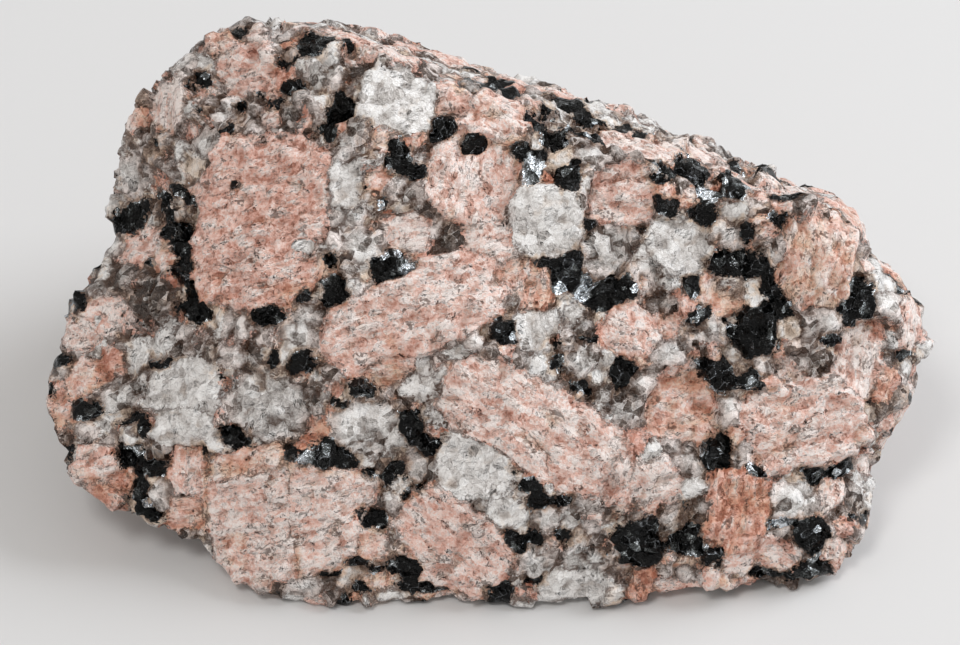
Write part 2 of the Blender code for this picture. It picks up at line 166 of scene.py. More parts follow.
# The crystals that show on the broad face and round its rims, by kind: across, up, half length, half width in
# millimetres and turn in degrees, as they lie when seen straight on.
CRYSTALS = {
    "pink": (
        (45.6, -28.5, 1.4, 2.4, 75), (-26, 11.7, 8.2, 10.8, -10), (-1.2, 17, 5.4, 5.3, 60),
        (-7.7, 1.3, 11.8, 5, 25), (6.4, -12.3, 12, 5.2, -30), (39, -12.1, 7.7, 5.4, 15),
        (-24, -23.8, 9.1, 7.2, 12), (-3, -26.1, 7.7, 4.8, -40), (-4.2, -30.1, 3.1, 2.2, 0),
        (-28, 30.7, 3.7, 3.4, 20), (-40.4, 9.2, 3.1, 2.4, 0), (-46.1, -16.7, 3, 2, 10),
        (-35.2, -17.5, 3.4, 2.3, 90), (1.8, 24.4, 4.3, 2.4, -15), (-2.8, 26.6, 2.6, 2, -10),
        (16.8, 15.3, 4.1, 3.6, 0), (18, -1.4, 3.6, 3.2, -20), (27, -3.3, 1.3, 1.1, 0),
        (51.7, -0.4, 3.1, 2, 90), (36, -27.8, 3.1, 2.3, -20), (42.7, -27.5, 2.2, 1.8, 70),
        (23.4, -32.1, 3, 1.4, 0), (30.6, -29.1, 1.9, 1.2, 0), (17.3, -29.9, 1.1, 1.1, 0),
        (-13, 32.7, 6.2, 1, -24), (33.4, 16.4, 3.1, 1, -22),
    ),
    "tan": (
        (24.5, -10.3, 4.3, 4.1, 0), (40.2, 7.5, 5.5, 4.4, 80), (-31, 33.5, 2.4, 1.7, 0),
        (-41.3, 24.5, 1.6, 1.2, 90), (-37.4, 7.3, 1.4, 1.3, 0), (-47.5, -6.9, 2.4, 2.2, 0),
        (-50.9, -11, 1.7, 1.6, 0), (-35.2, -22.7, 2.2, 2.2, 0), (-19.8, -19.4, 1.3, 1.1, 0),
        (-28, -17.2, 5, 1.8, 8), (-12.6, -26.7, 2, 1.9, 0), (-11.3, -4.7, 3.6, 2.4, 0),
        (6.6, 4.1, 2.9, 2, 80), (2.8, 5.6, 1.9, 1.6, 0), (22, 15.9, 1.2, 1, 0), (25.2, 14.3, 1.2, 0.7, 0),
        (27.6, 17.3, 1, 0.7, 0), (22.4, -0.3, 1.6, 1.3, 0), (27.6, 3.9, 1.9, 1.3, 80),
        (29.4, 2, 1.9, 1.2, 0), (-12.2, 17.3, 1.6, 1.4, 0), (35.4, -7.3, 1.4, 0.8, 0),
        (33.4, 12.1, 1.2, 0.8, 0), (40.8, 12.7, 0.8, 0.7, 0), (44.4, 12.7, 2.4, 1.4, -40),
    ),
    "rust": (
        (30.6, -22.3, 4.8, 3.6, 80), (-44.4, -4.6, 1.6, 1.4, 0), (-42.6, -18.9, 1.4, 1.1, 0),
        (-44.9, -20.6, 2.4, 1.1, -25), (-19.2, -12.5, 1.3, 1.1, 0), (-20.8, -14.5, 0.7, 0.6, 0),
        (48.6, -7.1, 2.2, 1.4, 80), (48, -1.3, 1.4, 1.1, 80), (45, -14.7, 1.1, 1, 0),
        (19.4, -31.3, 2.2, 1.6, 90), (-22.8, 33.7, 1, 1, 0),
    ),
    "blush": (
        (49.9, -10.7, 1.2, 2.2, 70), (48.5, -14.3, 1.2, 1.7, 60), (47.6, -17.9, 1.1, 1.9, 75),
        (-26.8, 34.1, 1.4, 1.2, 0), (-37.2, 25.9, 3.2, 2.9, 90), (-45.2, 0.9, 2.4, 2.2, 0),
        (-47.8, -1.3, 2.2, 1.9, 0), (-15.4, -20.3, 2.9, 2.6, 0), (0.7, 9.9, 3.1, 2.4, 0),
        (-9, 11.1, 2.9, 2, 0), (29.8, 3.9, 1.6, 1, 0), (45.6, -4.7, 4.6, 3, 80), (42.2, -20.9, 1.9, 1.7, 90),
        (37.2, -5.7, 1.7, 1.3, 0), (16.8, -17.2, 1.9, 1.4, 90), (21.2, -18.9, 2.9, 2.6, 0),
        (19.2, 21.2, 5, 1.3, -17), (38.4, 15.9, 2.6, 0.7, -25), (27, 19.7, 2.9, 0.6, -25),
    ),
    "white": (
        (-35.5, -7.5, 5.3, 3.1, 10), (-35.2, -12.7, 4.1, 2.6, 0), (47, -21.7, 1, 1.7, 80),
        (7.9, 12.1, 4.6, 4.4, 0), (-10.1, 26.3, 4.9, 4.1, -15), (-0.6, -17.2, 5, 4.1, 10),
        (3.4, -22.5, 2.6, 1.8, 0), (23.8, 9.2, 4.3, 3.5, 0), (11, -31.6, 4.1, 2.2, 0),
        (25.2, -20.1, 1.4, 1.3, 0), (6.6, -0.7, 2.8, 2.6, 0), (-2.4, -3.7, 2.2, 1, 0),
        (-6, -8.2, 1.7, 1.6, 0), (-7.2, -5.5, 1.3, 1, 90), (-41.2, -3.7, 2.4, 1.4, 70),
        (-38.8, -2.3, 1.8, 1.7, 0), (-32.9, -6.3, 2.2, 1.8, 0), (-46, -3.1, 0.8, 0.8, 0),
        (30.4, 13.3, 1.8, 1.1, 0), (48.2, 4.9, 1.4, 1.4, 0), (-8.2, -7.5, 2, 1.3, 90),
        (14.4, 25.1, 2.2, 0.7, -20), (-16.4, 16.3, 2.9, 2.3, 90), (-25.2, 35.6, 1.7, 0.7, -15),
    ),
    "grey": (
        (-25.1, -10, 5.3, 4, 0), (-14.2, -12.2, 4.1, 2.6, 0), (15.1, 8.8, 3.6, 2.8, 90),
        (19.8, 6.3, 2.2, 1.7, 0), (12.5, -4.5, 2.4, 2.2, 0), (12.6, -28.7, 2.6, 1.7, 0),
        (6.6, -28.7, 2.4, 2, 0), (7.8, -23.5, 1.9, 1.6, 0), (13.2, -24.9, 1.3, 1.2, 0),
        (37.6, -21.1, 3.2, 2.4, 0), (13.2, 19.6, 2.5, 1.4, -25), (24.6, -16.9, 1.7, 1.6, 0),
        (31.9, -15.5, 1.6, 1.6, 0), (-0.5, -2.8, 1.7, 1, 0), (-37.8, -8.3, 2.2, 1.6, 0),
        (-43, -9.1, 2.8, 1.7, 0), (-42, 17.3, 2.6, 1.2, 90), (-26.2, 20.9, 2, 1.1, 0),
        (-33, 21.9, 2.2, 1.9, 0), (-32.6, 26.3, 1.4, 1.3, 0), (-26.9, 23.2, 1.3, 1.3, 0),
        (-35, 30.7, 1.4, 1.2, 90), (-19.9, 29.7, 1.9, 1.4, 90), (-17.6, 29.9, 1.8, 1, 90),
        (-22.8, 32.5, 1.2, 1, 90), (-19.8, 25.5, 1.7, 1.4, 90), (-5.2, 10.9, 1.1, 1.1, 0),
        (-29.4, -0.5, 2.2, 1.6, 0), (-29.2, -4, 1.7, 1.6, 0), (-26, -1.9, 1.4, 1.2, 90),
        (-21.6, -1.3, 2.4, 1.9, 0), (-14.4, 3.7, 1.4, 1.3, 0), (-13.8, 9.5, 3.1, 2.2, 0),
        (19.8, -7.3, 1.8, 1.4, 0), (22.2, -3.7, 2.6, 1.6, 0), (41.8, 0.3, 1.9, 1.6, 0),
        (48.6, 1.9, 1.6, 1.3, 0), (12.6, -21.4, 1.7, 1.3, 0), (-10.4, -21.8, 1.9, 1.2, 90),
        (-7.8, -17.2, 1.9, 1.4, 90), (-47.4, -13.1, 1.4, 1.3, 0), (-38.4, -20.6, 2.2, 1.4, 90),
        (-21, -31.6, 2.6, 1.3, 0), (34.2, -5.3, 1.3, 1.3, 0), (29.8, -10.3, 2.2, 1.4, 90),
        (35.4, -17.7, 1.3, 1, 0), (29.8, 10.3, 1.9, 1.4, 0), (33.6, 9.5, 1, 1, 0),
        (33.1, 13.7, 1.2, 0.7, -20), (-40.8, -7.7, 1.6, 1.2, 90), (-35.6, -1, 1.6, 1.1, 0),
    ),
    "smoky": (
        (-14.4, 22.6, 1.9, 1.9, 0), (-22.6, 24.9, 1.8, 1.3, 90), (-14.8, 30.4, 1.3, 1, 0),
        (-15.6, 28.3, 1.1, 1, 0), (-6.2, 13.4, 1.2, 1.1, 0), (-3.5, 10.1, 2.2, 1.9, 0),
        (-38.9, 2.5, 3.2, 2.5, 10), (-42.8, 5.5, 2.5, 1.9, 0), (-39.6, 5, 1.2, 1.1, 0),
        (-19.2, 0.2, 1.2, 1, 90), (-27.4, -4.1, 1.8, 1.4, 90), (-17.2, -6.1, 1.6, 1, 0),
        (-20.4, -8.2, 1.4, 1.1, 0), (-8.6, -9.5, 1.2, 0.8, 0), (-5.6, -8.7, 1, 0.7, 0),
        (14.8, -8.1, 2, 1.1, -80), (17.9, -10.6, 2.3, 2.2, 0), (22.2, 2.3, 2.2, 1.3, 0),
        (12.6, -0.3, 1.4, 1.1, 0), (39.8, -2.5, 1.1, 0.8, 0), (40.3, -5.1, 1.9, 1.6, 90),
        (44.4, -20.9, 2, 1.6, 90), (23, -23.7, 1.7, 1.6, 0), (15.5, -23.2, 1.2, 0.8, 90),
        (-5.6, -17.7, 1.9, 0.8, 90), (-13.8, -14.9, 2.2, 1.1, 0), (-10.4, -15.2, 1.1, 0.8, 0),
        (-37.8, -15.4, 1.6, 1.2, 0), (1.2, -15.9, 1.1, 0.8, 0), (-40.2, 17.7, 1.1, 1, 0),
        (49.2, -4.5, 1.3, 0.8, 0),
    ),
    "mica": (
        (-19.8, 33.1, 2.2, 1.4, -20), (-16.7, 26, 1.8, 1.6, 60), (-18.2, 23, 1.1, 1, 0),
        (-33.2, 28.7, 1.3, 0.8, 80), (-34.8, 28, 1, 0.8, 0), (-33.2, 25.5, 0.5, 0.5, 0),
        (-28.4, 25.6, 0.8, 0.7, 0), (-26.4, 27.1, 0.6, 0.6, 0), (-24.6, 26.3, 0.8, 0.7, 0),
        (-29.9, 23.2, 0.6, 0.6, 0), (-24, 30.4, 1.1, 0.7, 90), (-23, 28.4, 1.6, 0.8, 0),
        (-37.8, 14.9, 1.2, 1.2, 0), (-35.4, 14.5, 0.8, 0.6, 90), (-37.4, 12.8, 1.1, 0.8, 0),
        (-43.3, 11.8, 1.6, 1.3, 60), (-37, 10.9, 1.3, 1.2, 90), (-34.7, 10.9, 1.2, 1.1, 90),
        (-39.6, 7.3, 0.7, 0.5, 90), (-35.2, 6.2, 1.6, 1.3, 90), (-35.3, 8.7, 1.4, 0.8, 0),
        (-46.2, 6.5, 1, 0.7, 90), (-47.6, 2.1, 1, 0.7, 60), (-50.2, -4.9, 1, 0.8, 0),
        (-51.4, -7.7, 0.7, 0.4, 90), (-47.2, -10.3, 1.7, 1.2, 0), (-38, -5.2, 1.1, 0.7, 0),
        (-33.6, 1.1, 1.6, 1, -10), (-34.4, 3.9, 1, 1, 0), (-42, -11.3, 1.2, 0.7, 0),
        (-41.8, -15.9, 1.8, 1.4, 0), (-40.3, -12.9, 1.1, 0.7, 90), (-37, -15.9, 0.8, 0.6, 0),
        (-39.6, -17.5, 2, 1.1, 0), (-30, -13.7, 1.6, 1.4, 0), (-33, -15.3, 0.8, 0.7, -30),
        (-40.8, -20.1, 1.6, 1.1, 90), (-39.8, -22.6, 1.6, 0.6, -25), (-49.7, -15.5, 1.1, 0.7, 90),
        (-25.6, 0.9, 1.8, 1.1, 8), (-21.4, 2.9, 0.8, 0.7, 0), (-24.8, -4.5, 1.2, 0.8, 90),
        (-21.6, -4.9, 1.6, 1.6, 0), (-14.4, -7.6, 1.4, 1, 0), (-16.6, -9.8, 1.1, 0.8, 0),
        (-17.2, 3.8, 1.8, 1.7, 90), (-17.5, 7.3, 1, 0.7, 0), (-11.4, 6.5, 2.2, 1.7, 90),
        (-9.6, 4.5, 0.8, 0.7, 0), (-10.3, 20.7, 1.6, 1.1, 90), (-8.3, 18.4, 2.2, 1, -8),
        (-4.3, 23.1, 1.4, 1.3, 90), (2.8, -1.3, 1.9, 1.6, 0), (1.8, 0.1, 0.7, 0.6, 0),
        (9.2, -4.9, 1.1, 0.8, 90), (10.2, 5.7, 2.2, 2, 90), (11.4, 7.7, 1, 1, 0), (7.8, 7, 1.1, 0.7, 0),
        (15.2, 3.5, 2.5, 1.8, 25), (9, 22, 1.7, 1.4, -40), (4.8, 20.6, 1.2, 1.1, 90),
        (10.6, 17.2, 2.3, 1.8, 80), (7.9, 19.9, 1.3, 1.1, 90), (16.8, -5.6, 1.9, 1.6, 60),
        (18.8, -4.1, 0.7, 0.7, 0), (12.1, -7.6, 1.1, 0.8, 0), (13.2, -2.1, 1.3, 0.4, 0),
        (9.6, -2.3, 1, 0.5, 0), (13.4, 11.6, 1, 1, 0), (18.8, 10.6, 0.7, 0.7, 0), (22.2, 13.9, 1.7, 1, -15),
        (26.6, 13, 1.8, 1.4, 0), (25.4, 18.5, 2.8, 1.2, -38), (22.4, 18.2, 1.7, 0.6, -22),
        (21.1, 17.2, 1.3, 0.6, -15), (30.2, 18.9, 1.7, 0.7, -28), (29.4, 20.9, 1, 0.4, -18),
        (30.5, 16.6, 1.6, 1.3, 90), (32.2, 10.9, 1.3, 1.2, 0), (35.6, 12.5, 1, 0.7, 0),
        (29.8, 6.8, 2.4, 1.8, -15), (33.6, 7.1, 1.4, 1.4, 0), (35, 4, 1.9, 1.4, -30),
        (36.1, 6.7, 0.7, 0.5, 0), (36.1, 1.7, 1.4, 1.1, 70), (33.2, -1, 3.1, 2.5, 90),
        (26.4, 0.5, 1.6, 1.1, 40), (29.6, -0.9, 1.1, 1, 0), (25.4, 4, 1.2, 0.8, 90),
        (28.6, -6.7, 2, 1.9, 90), (26.6, -4.7, 0.8, 0.6, 0), (32.3, -6.5, 1.1, 1, 0),
        (34.1, -8.1, 0.8, 0.4, -20), (36.5, -10.3, 0.8, 0.7, 90), (45.4, 2.7, 2.2, 1.4, 90),
        (43.8, 0.8, 1.7, 0.7, -60), (42, -2.2, 1.1, 0.6, 0), (50, 4.7, 1.4, 0.8, -50),
        (51.7, 2.9, 1, 0.5, -50), (51, -3.7, 1, 0.7, 0), (46.7, -9.8, 0.8, 0.6, 0),
        (28.6, -15.4, 1.9, 1.7, 90), (33, -17.8, 1.2, 1, -30), (33.4, -16, 0.6, 0.6, 0),
        (38.5, -17.3, 0.7, 0.6, 0), (39.8, -18.5, 1.1, 1, 0), (43, -17.3, 0.8, 0.6, 0),
        (43.9, -16.4, 0.6, 0.4, 90), (39.4, -25.6, 2.2, 2, 0), (39.8, -29.6, 3.4, 1, 10),
        (33.8, -28.5, 0.7, 0.6, 90), (33.7, -30.2, 1.4, 0.6, 0), (27.8, -27.9, 1.2, 1.1, 90),
        (24.6, -26.7, 1.9, 1.7, 0), (25.4, -24.3, 0.6, 0.6, 0), (24.6, -22.3, 0.7, 0.5, 90),
        (19.2, -26.5, 3.2, 2.8, 90), (20.6, -32.7, 0.7, 0.7, 0), (16.7, -25.7, 1.3, 0.8, 90),
        (10.2, -25.3, 1.2, 0.8, 0), (10.2, -21.3, 0.8, 0.6, 0), (4, -26, 1.6, 1.4, 0),
        (6.6, -25.1, 0.8, 0.6, 90), (6, -19.5, 1.1, 0.8, 0), (6.8, -21.4, 1.3, 1.1, 0),
        (3.7, -17.6, 1, 0.5, -70), (9.7, -18.2, 0.5, 0.5, 0), (12.4, -18.7, 0.5, 0.5, 0),
        (-8.2, -12.2, 2, 1.3, 90), (-6, -14.8, 1.3, 1.2, 90), (-10.2, -18.4, 1.7, 1.6, 90),
        (-6.7, -19.5, 0.8, 0.7, 90), (-9, -20.6, 0.7, 0.7, 0), (-13.6, -18.3, 0.8, 0.8, 0),
        (-22.8, -15.9, 0.8, 0.7, 0), (-18.6, -16.5, 2.4, 1.3, 90), (-16.4, -16.5, 1.3, 1.2, 0),
        (-22.4, -18.5, 0.7, 0.5, 0), (-12.2, -23.3, 1.4, 1, -20), (-14.6, -22.6, 0.7, 0.5, 0),
        (-14.6, -28.6, 1.3, 0.7, 0), (-9, -29.5, 1.8, 1.2, -15), (-12.2, -29.8, 1.2, 0.8, 90),
        (-13.7, -31.9, 1.4, 0.8, 0), (-6.6, -31.9, 3.4, 0.8, -8), (0.6, -29.6, 1.1, 0.8, -30),
        (1.8, -31.9, 2.2, 0.8, -10), (6.6, -30.9, 1.3, 0.6, 0), (-4.1, -27.2, 0.8, 0.5, -20),
        (-2.4, -28, 0.6, 0.5, 0), (-7.8, -26.7, 1.2, 0.8, -20), (-18, -30.1, 1.4, 0.5, -10),
        (2.4, 28, 2.6, 0.8, -25), (-10.2, 32.7, 1.7, 0.5, -40), (-7.2, 31.4, 1.4, 0.5, -35),
        (6, 24.5, 1.6, 0.5, -25), (10.3, 26.1, 1.8, 0.8, -10), (8.4, 24.8, 1.4, 0.5, -20),
        (13.7, 23.9, 1.3, 0.5, 0), (15, 26.5, 2.4, 0.5, -25), (18.2, 23, 1.9, 0.5, -15),
        (12.7, 22.3, 2.2, 0.5, -25), (24, 22.1, 1.2, 0.5, -25), (36.5, 14.5, 1.9, 0.5, -15),
        (39.8, 14.1, 0.7, 0.6, 0), (34.9, 17.3, 1.4, 0.4, -10), (33.6, 18.5, 1.1, 0.4, -30),
        (42.7, 12.4, 1.1, 0.4, -40), (-1.6, 27.9, 1.4, 0.6, -30), (48.7, -12.3, 1.1, 0.4, 60),
        (48.4, -15.3, 0.6, 0.4, 60), (46.7, -20.5, 0.7, 0.4, 90), (45.7, -23, 0.6, 0.5, 45),
        (51.2, -8.5, 0.5, 0.5, 0), (52.4, -4.1, 0.7, 0.5, 60),
    ),
    "flake": (
        (6.4, 17.9, 1.8, 1.6, 60), (12.5, 3.9, 1.8, 1.1, 45), (-20.8, -17, 1.7, 1.3, 45),
        (28.6, -15.5, 1.1, 1, 90), (36, -24.1, 1.6, 0.8, 10), (-9, 6.2, 1.4, 1, 0),
        (27.4, 15.5, 1.2, 1.1, 0), (40.2, -28, 0.8, 0.7, 0), (18, -24.7, 1.1, 0.7, -20),
        (31.8, -0.5, 0.8, 0.7, 0), (44.8, 3.1, 0.6, 0.7, 90),
    ),
}

QUARTZ, WHITE, FELDSPAR, MICA = range(4)

# What a kind of crystal is: its mineral, how light it is from -1 to 1, and how far rust has stained it.
KINDS = {
    "pink": (FELDSPAR, 0.0, 0.0),
    "tan": (FELDSPAR, 0.0, 0.45),
    "rust": (FELDSPAR, -0.95, 0.6),
    "blush": (FELDSPAR, 0.6, 0.0),
    "white": (WHITE, 0.05, 0.0),
    "grey": (QUARTZ, 0.45, 0.0),
    "smoky": (QUARTZ, -0.7, 0.3),
    "mica": (MICA, -0.5, 0.0),
    # Flake mica's lightness is a painted silvery glint on its leaves.
    "flake": (MICA, 1.0, 0.0),
}

# By mineral: how blocky a crystal is, as the power of its rounded box, and the tilt and step of its face.
BLOCKINESS = (2.4, 2.6, 4.0, 3.0)
FACE_TILT = (0.18, 0.14, 0.06, 0.25)
FACE_STEP = (0.16, 0.12, 0.12, 0.2)

# A crystal's depth behind the surface, face on and grazed, and how far in its centre lies, as shares of its
# sizes, and the spread of lightness among crystals of one kind.
CRYSTAL_DEPTH = 0.9
GRAZED_DEPTH = 1.6
CENTRE_DEPTH = 0.3
TONE_SPREAD = 0.15

# Large crystals on the sides that the camera doesn't see: kind, how many are tried, and shortest and longest.
HIDDEN_CRYSTALS = (
    ("pink", 60, 6.0, 12.0), ("pink", 120, 3.0, 6.0), ("tan", 60, 2.5, 5.5), ("blush", 90, 2.5, 5.0),
    ("white", 90, 2.5, 5.0), ("grey", 120, 2.0, 4.5), ("smoky", 90, 1.5, 3.0), ("mica", 300, 1.0, 2.4),
    ("flake", 50, 0.9, 1.6),
)

# Their widths and depths as shares of their lengths, how far they may face the camera, and the gaps that they
# keep to one another and to the listed crystals, as shares of their lengths.
HIDDEN_WIDTHS = (0.55, 0.95)
HIDDEN_DEPTHS = (0.6, 0.9)
HIDDEN_FACING = 0.10
HIDDEN_GAP = 0.82
GAP_TO_LISTED = 0.6

# Small grains fill what is left: half sizes, unevenness, how far each strays from its lattice point, the
# share of points that hold one, and how far from the form they are still drawn.
SMALL_HALF_SIZES = (0.4, 1.4)
SMALL_SHAPES = (0.7, 1.4)
SMALL_STRAY = 0.48
SMALL_SHARE = 0.8
SHELL = 3.0

# The shares of mica, pink and white among small grains, how much they drift and over what length, how light
# mica and the other minerals are, and the share of rusty grains and their rust.
SEEN_SHARES = (0.045, 0.2, 0.33)
HIDDEN_SHARES = (0.14, 0.24, 0.30)
DRIFT = 0.35
DRIFT_LENGTH = 17.0
SMALL_MICA_TONES = (-0.8, -0.2)
SMALL_TONES = (-0.75, 0.75)
RUSTY_SHARE = 0.15
RUSTY_STAIN = 0.7

# The search for the nearest grain goes block by block, with this margin round each, and no distance counts
# beyond the far one.
BLOCK = 10.0
MARGIN = 5.0
FAR = 4.0

# Outlines of grains wander by this much over this length.
WANDER = 0.15
WANDER_LENGTH = 1.7

# A point is sunk or proud by its depth below the mean of this many rounds of neighbours, as a share of this.
ROUNDS_AROUND = 5
DEPTH_OF_PITS = 0.16

# Large crystals give way by this much to the small grains round them, which keep this far outside. Now and
# then one holds a grain, at least this deep, that wins over it by this much and ends this many times as fast.
GIVING_WAY = 0.25
CLEAR_OF_LARGE = 0.3
HELD_SHARE = 0.02
HELD_DEPTH = 0.8
HELD_LEAD = 0.2
HELD_TIGHTLY = 4

# Grooves between grains and domes of quartz fade over these lengths, and a face rises or falls this far.
GROOVE_WIDTH = 0.25
DOME_WIDTH = 0.8
FACE_LIMIT = 0.35

# Small broken faces cover the large crystals too: spacing, tilt and step.
CHIP_SPACING = 2.0
CHIP_TILT = 0.2
CHIP_STEP = 0.15

# The three ways that feldspar breaks, in degrees across the broad face.
CLEAVAGE_TURNS = (12.0, -32.0, 85.0)
TERRACE_WIDTH = (2.0, 3.6)
TERRACE_HEIGHT = 0.4
TERRACED_SIZES = (0.9, 3.9)

# Cracks that cross the large crystals: from and to, across and up, as seen straight on.
CRACKS = (
    (-30.2, -28.1, -27.6, -26.8), (-26.2, -26.9, -22.6, -25.7), (-22.6, -25.7, -19.2, -24.7),
    (-19.2, -24.7, -15.4, -23.3), (-32.9, -16.3, -32.8, -25.5), (-22.9, -14.7, -22.7, -25.5),
    (-22, -26.7, -21.8, -30.7), (-33, -19.7, -28.4, -19.6), (3.4, -11.5, 5.8, -13.3),
    (5.8, -13.3, 7.9, -15.5), (7.9, -15.5, 8.3, -19.1), (-34.8, 14.3, -28.8, 15.7), (-31.8, 6.8, -30, 6.4),
    (-30.2, 7.5, -26.2, 9.5), (-28.8, 4.1, -26.2, 4.7), (-26.2, 8, -20.2, 7.3), (-21.4, 4.7, -19.7, 5.8),
    (-35.8, 22.5, -33.2, 19.5),
)
CRACK_REACH = 0.8
CRACK_FACING = 0.1
CRACK_WIDTH = 0.35
CRACK_DEPTH = 0.2

# Rust stains: across, up, half length, half width, turn and strength, as seen straight on.
STAINS = (
    (-22.8, 3.9, 3.1, 1.2, 15, 0.9), (-18.2, 6.5, 1.9, 1.2, -30, 1), (-31.4, 5.1, 1.2, 1, 0, 0.7),
    (-30.5, 2.7, 1.2, 0.7, 0, 0.5), (-26.2, 12.1, 1.4, 0.7, 0, 0.7), (-40.4, 26.2, 1, 1, 0, 0.8),
    (-39.4, 23.7, 1, 1, 0, 0.6), (-38.4, 20.9, 1.2, 1.2, 0, 0.8), (-39.6, 14.7, 1.2, 1, 0, 0.6),
    (-35.8, 13.3, 1.1, 1.1, 0, 0.5), (-35.4, 2.9, 0.7, 1.8, 90, 1), (-32.8, 3.2, 0.7, 0.8, 0, 1),
    (-32.9, -21.3, 4.8, 0.6, 90, 0.9), (-22.8, -16.5, 2.4, 0.7, 90, 0.8), (-21.8, -28.7, 2.4, 0.6, 90, 0.9),
    (-29.4, -17.3, 1.9, 1.2, 0, 0.6), (-10.4, -2.7, 1.9, 0.7, -60, 1), (-10.2, -5.5, 1.7, 0.8, 0, 0.7),
    (7.2, 2.7, 1.4, 1.7, 90, 0.6), (4.2, 21.9, 2.6, 0.7, 10, 0.7), (-2.4, 28.1, 1.7, 0.7, 0, 0.7),
    (14.4, 23.3, 1, 0.5, 0, 0.9), (27, -11.7, 2.2, 1.2, 0, 0.5), (33, -21.9, 1, 3.1, 90, 0.8),
    (38.4, 4.5, 1.7, 2.6, 90, 0.5), (44.2, 7.5, 1.2, 2.6, 90, 0.6), (39, 9.3, 1.1, 1.1, 0, 0.8),
    (36.6, -10.3, 1.4, 1.4, 0, 0.6), (-47.4, -18.3, 2.9, 0.6, -25, 0.9), (-50.4, -12.3, 1.7, 1, 0, 0.7),
    (-19.2, -12.5, 1, 0.8, 0, 1), (-9.4, -15.9, 0.7, 1, 90, 0.8), (6, -14.1, 1.9, 0.6, -40, 0.5),
    (-6.6, -26.7, 1.2, 0.7, 0, 0.5), (28.8, -31.3, 1.4, 0.5, 0, 0.9),
)

# Faint rust anywhere: waves of this length, where they rise above this level, up to this strength.
FAINT_RUST_LENGTH = 9.0
FAINT_RUST_LEVEL = 1.6
FAINT_RUST_LIMIT = 0.5

# The shader's patterns: sizes of the noise, how far it bends the cells, sizes of the cells, sizes of flakes
# of feldspar along, beside and out of their cleavage, and the squeeze of the lines in them.
SPECK_SIZE = 0.2
BUMP_SIZE = 0.5
MOTTLE_SIZE = 0.8
PATCH_SIZE = 2.4
BENDING = 0.3
CRUMB_SIZE = 0.33
LUMP_SIZE = 1.15
FLAKE_SIZES = (1.25, 0.68, 0.9)
LINE_SQUEEZE = (0.4, 1.15, 0.6)

# The shader's lines: widths of a mineral's soft edge, of gaps between grains, of seams between lumps and of
# cracks, the width of a tear as a share of its noise, and the height of the bumps.
SOFT_EDGE = 0.04
GAP_WIDTH = 0.2
SEAM_WIDTH = 0.1
CRACK_LINE = 0.16
TEAR_WIDTH = 0.03
BUMP_HEIGHT = 0.4

# The stage, in metres: where the lamps hang and what they point at, the tints of the light, and the camera.
KEY_PLACE = (0.77, 0.27, 0.62)
FILL_PLACE = (-0.25, -0.45, 0.90)
LAMPS_AIM = (0.0, 0.0, 0.02)
KEY_TINT = (0.97, 1.0, 1.04)
FILL_TINT = (1.0, 0.98, 0.96)
SKY_TINT = (1.0, 0.975, 0.95, 1.0)
SENSOR_WIDTH = 36
NEAREST_SEEN = 0.01


def from_face(points):
    """Places across, up and out of the broad face, in the stone's upright frame."""
    points = np.asarray(points, float)
    return points @ FACE_AXES - SEAT


def to_face(points):
    """The reverse of from_face."""
    return (points + SEAT) @ FACE_AXES.T


def from_floor(points):
    """Corners that are given above the underside, in the stone's upright frame."""
    return np.asarray(points, float) - np.array([SEAT[0], SEAT[1], 0.0])


def unit(vectors):
    """Each vector divided by its own length."""
    return vectors / np.linalg.norm(vectors, axis=-1, keepdims=True)


def in_threes(*columns):
    """These columns side by side, with columns of noughts after them up to three."""
    missing = [np.zeros(len(columns[0]))] * (3 - len(columns))
    return np.stack([*columns, *missing], axis=1)


def turned(across, up, turn):
    """A place or direction along and beside a line that is turned this many degrees from across to up."""
    angle = np.radians(turn)
    return across * np.cos(angle) + up * np.sin(angle), up * np.cos(angle) - across * np.sin(angle)


def seen_straight_on(points):
    """Where the camera's lines of sight to the points cross the plane of the broad face, across and up it."""
    across, up, out = to_face(points).T
    nearer = CAMERA_DISTANCE / (CAMERA_DISTANCE - out)
    return across * nearer, up * nearer


def hull_planes():
    """Unit normals and distances of the planes that bound the convex hull of the corners."""
    corners = np.vstack([
        from_face(FACE_RIM), from_face(FACE_CROWN), from_face(FAR_EDGE),
        from_floor(BACK_CORNERS), from_floor(FOOT_CORNERS),
    ])
    hull = bmesh.new()
    for corner in corners:
        hull.verts.new(Vector(corner))
    bmesh.ops.convex_hull(hull, input=hull.verts)
    middle = Vector(corners.mean(axis=0))
    normals, reaches = [], []
    for face in hull.faces:
        if face.calc_area() < SMALLEST_FACE:
            continue
        outward = face.normal if face.normal.dot(face.calc_center_median() - middle) > 0 else -face.normal
        normals.append(outward)
        reaches.append(outward.dot(face.verts[0].co) + SKIN)
    hull.free()
    return np.array(normals), np.array(reaches)


def waves(points, wavelength, random):
    """A smooth random height of about unit size: cosines of one wavelength in random directions, summed."""
    directions = unit(random.normal(size=(WAVES_EACH, 3)))
    phases = random.uniform(0, math.tau, WAVES_EACH)
    turns = points @ (directions * math.tau / wavelength).T + phases
    return np.cos(turns).sum(axis=1) / math.sqrt(WAVES_EACH / 2)


def form(points, planes):
    """Distance outside the bent block: a smooth maximum over the planes, with the dents and waves on it."""
    normals, reaches = planes
    beyond = (points @ normals.T - reaches) / EDGE_ROUNDING
    furthest = beyond.max(axis=1)
    distance = EDGE_ROUNDING * (furthest + np.log(np.exp(beyond - furthest[:, None]).sum(axis=1)))
    for across, up, out, radius, depth in DENTS:
        centre = from_face([(across, up, out)])
        distance += depth * np.exp(-((points - centre) ** 2).sum(axis=1) / (2 * radius**2))
    random = np.random.default_rng(SEED)
    for wavelength, height in WAVES:
        distance += height * waves(points, wavelength, random)
    return distance


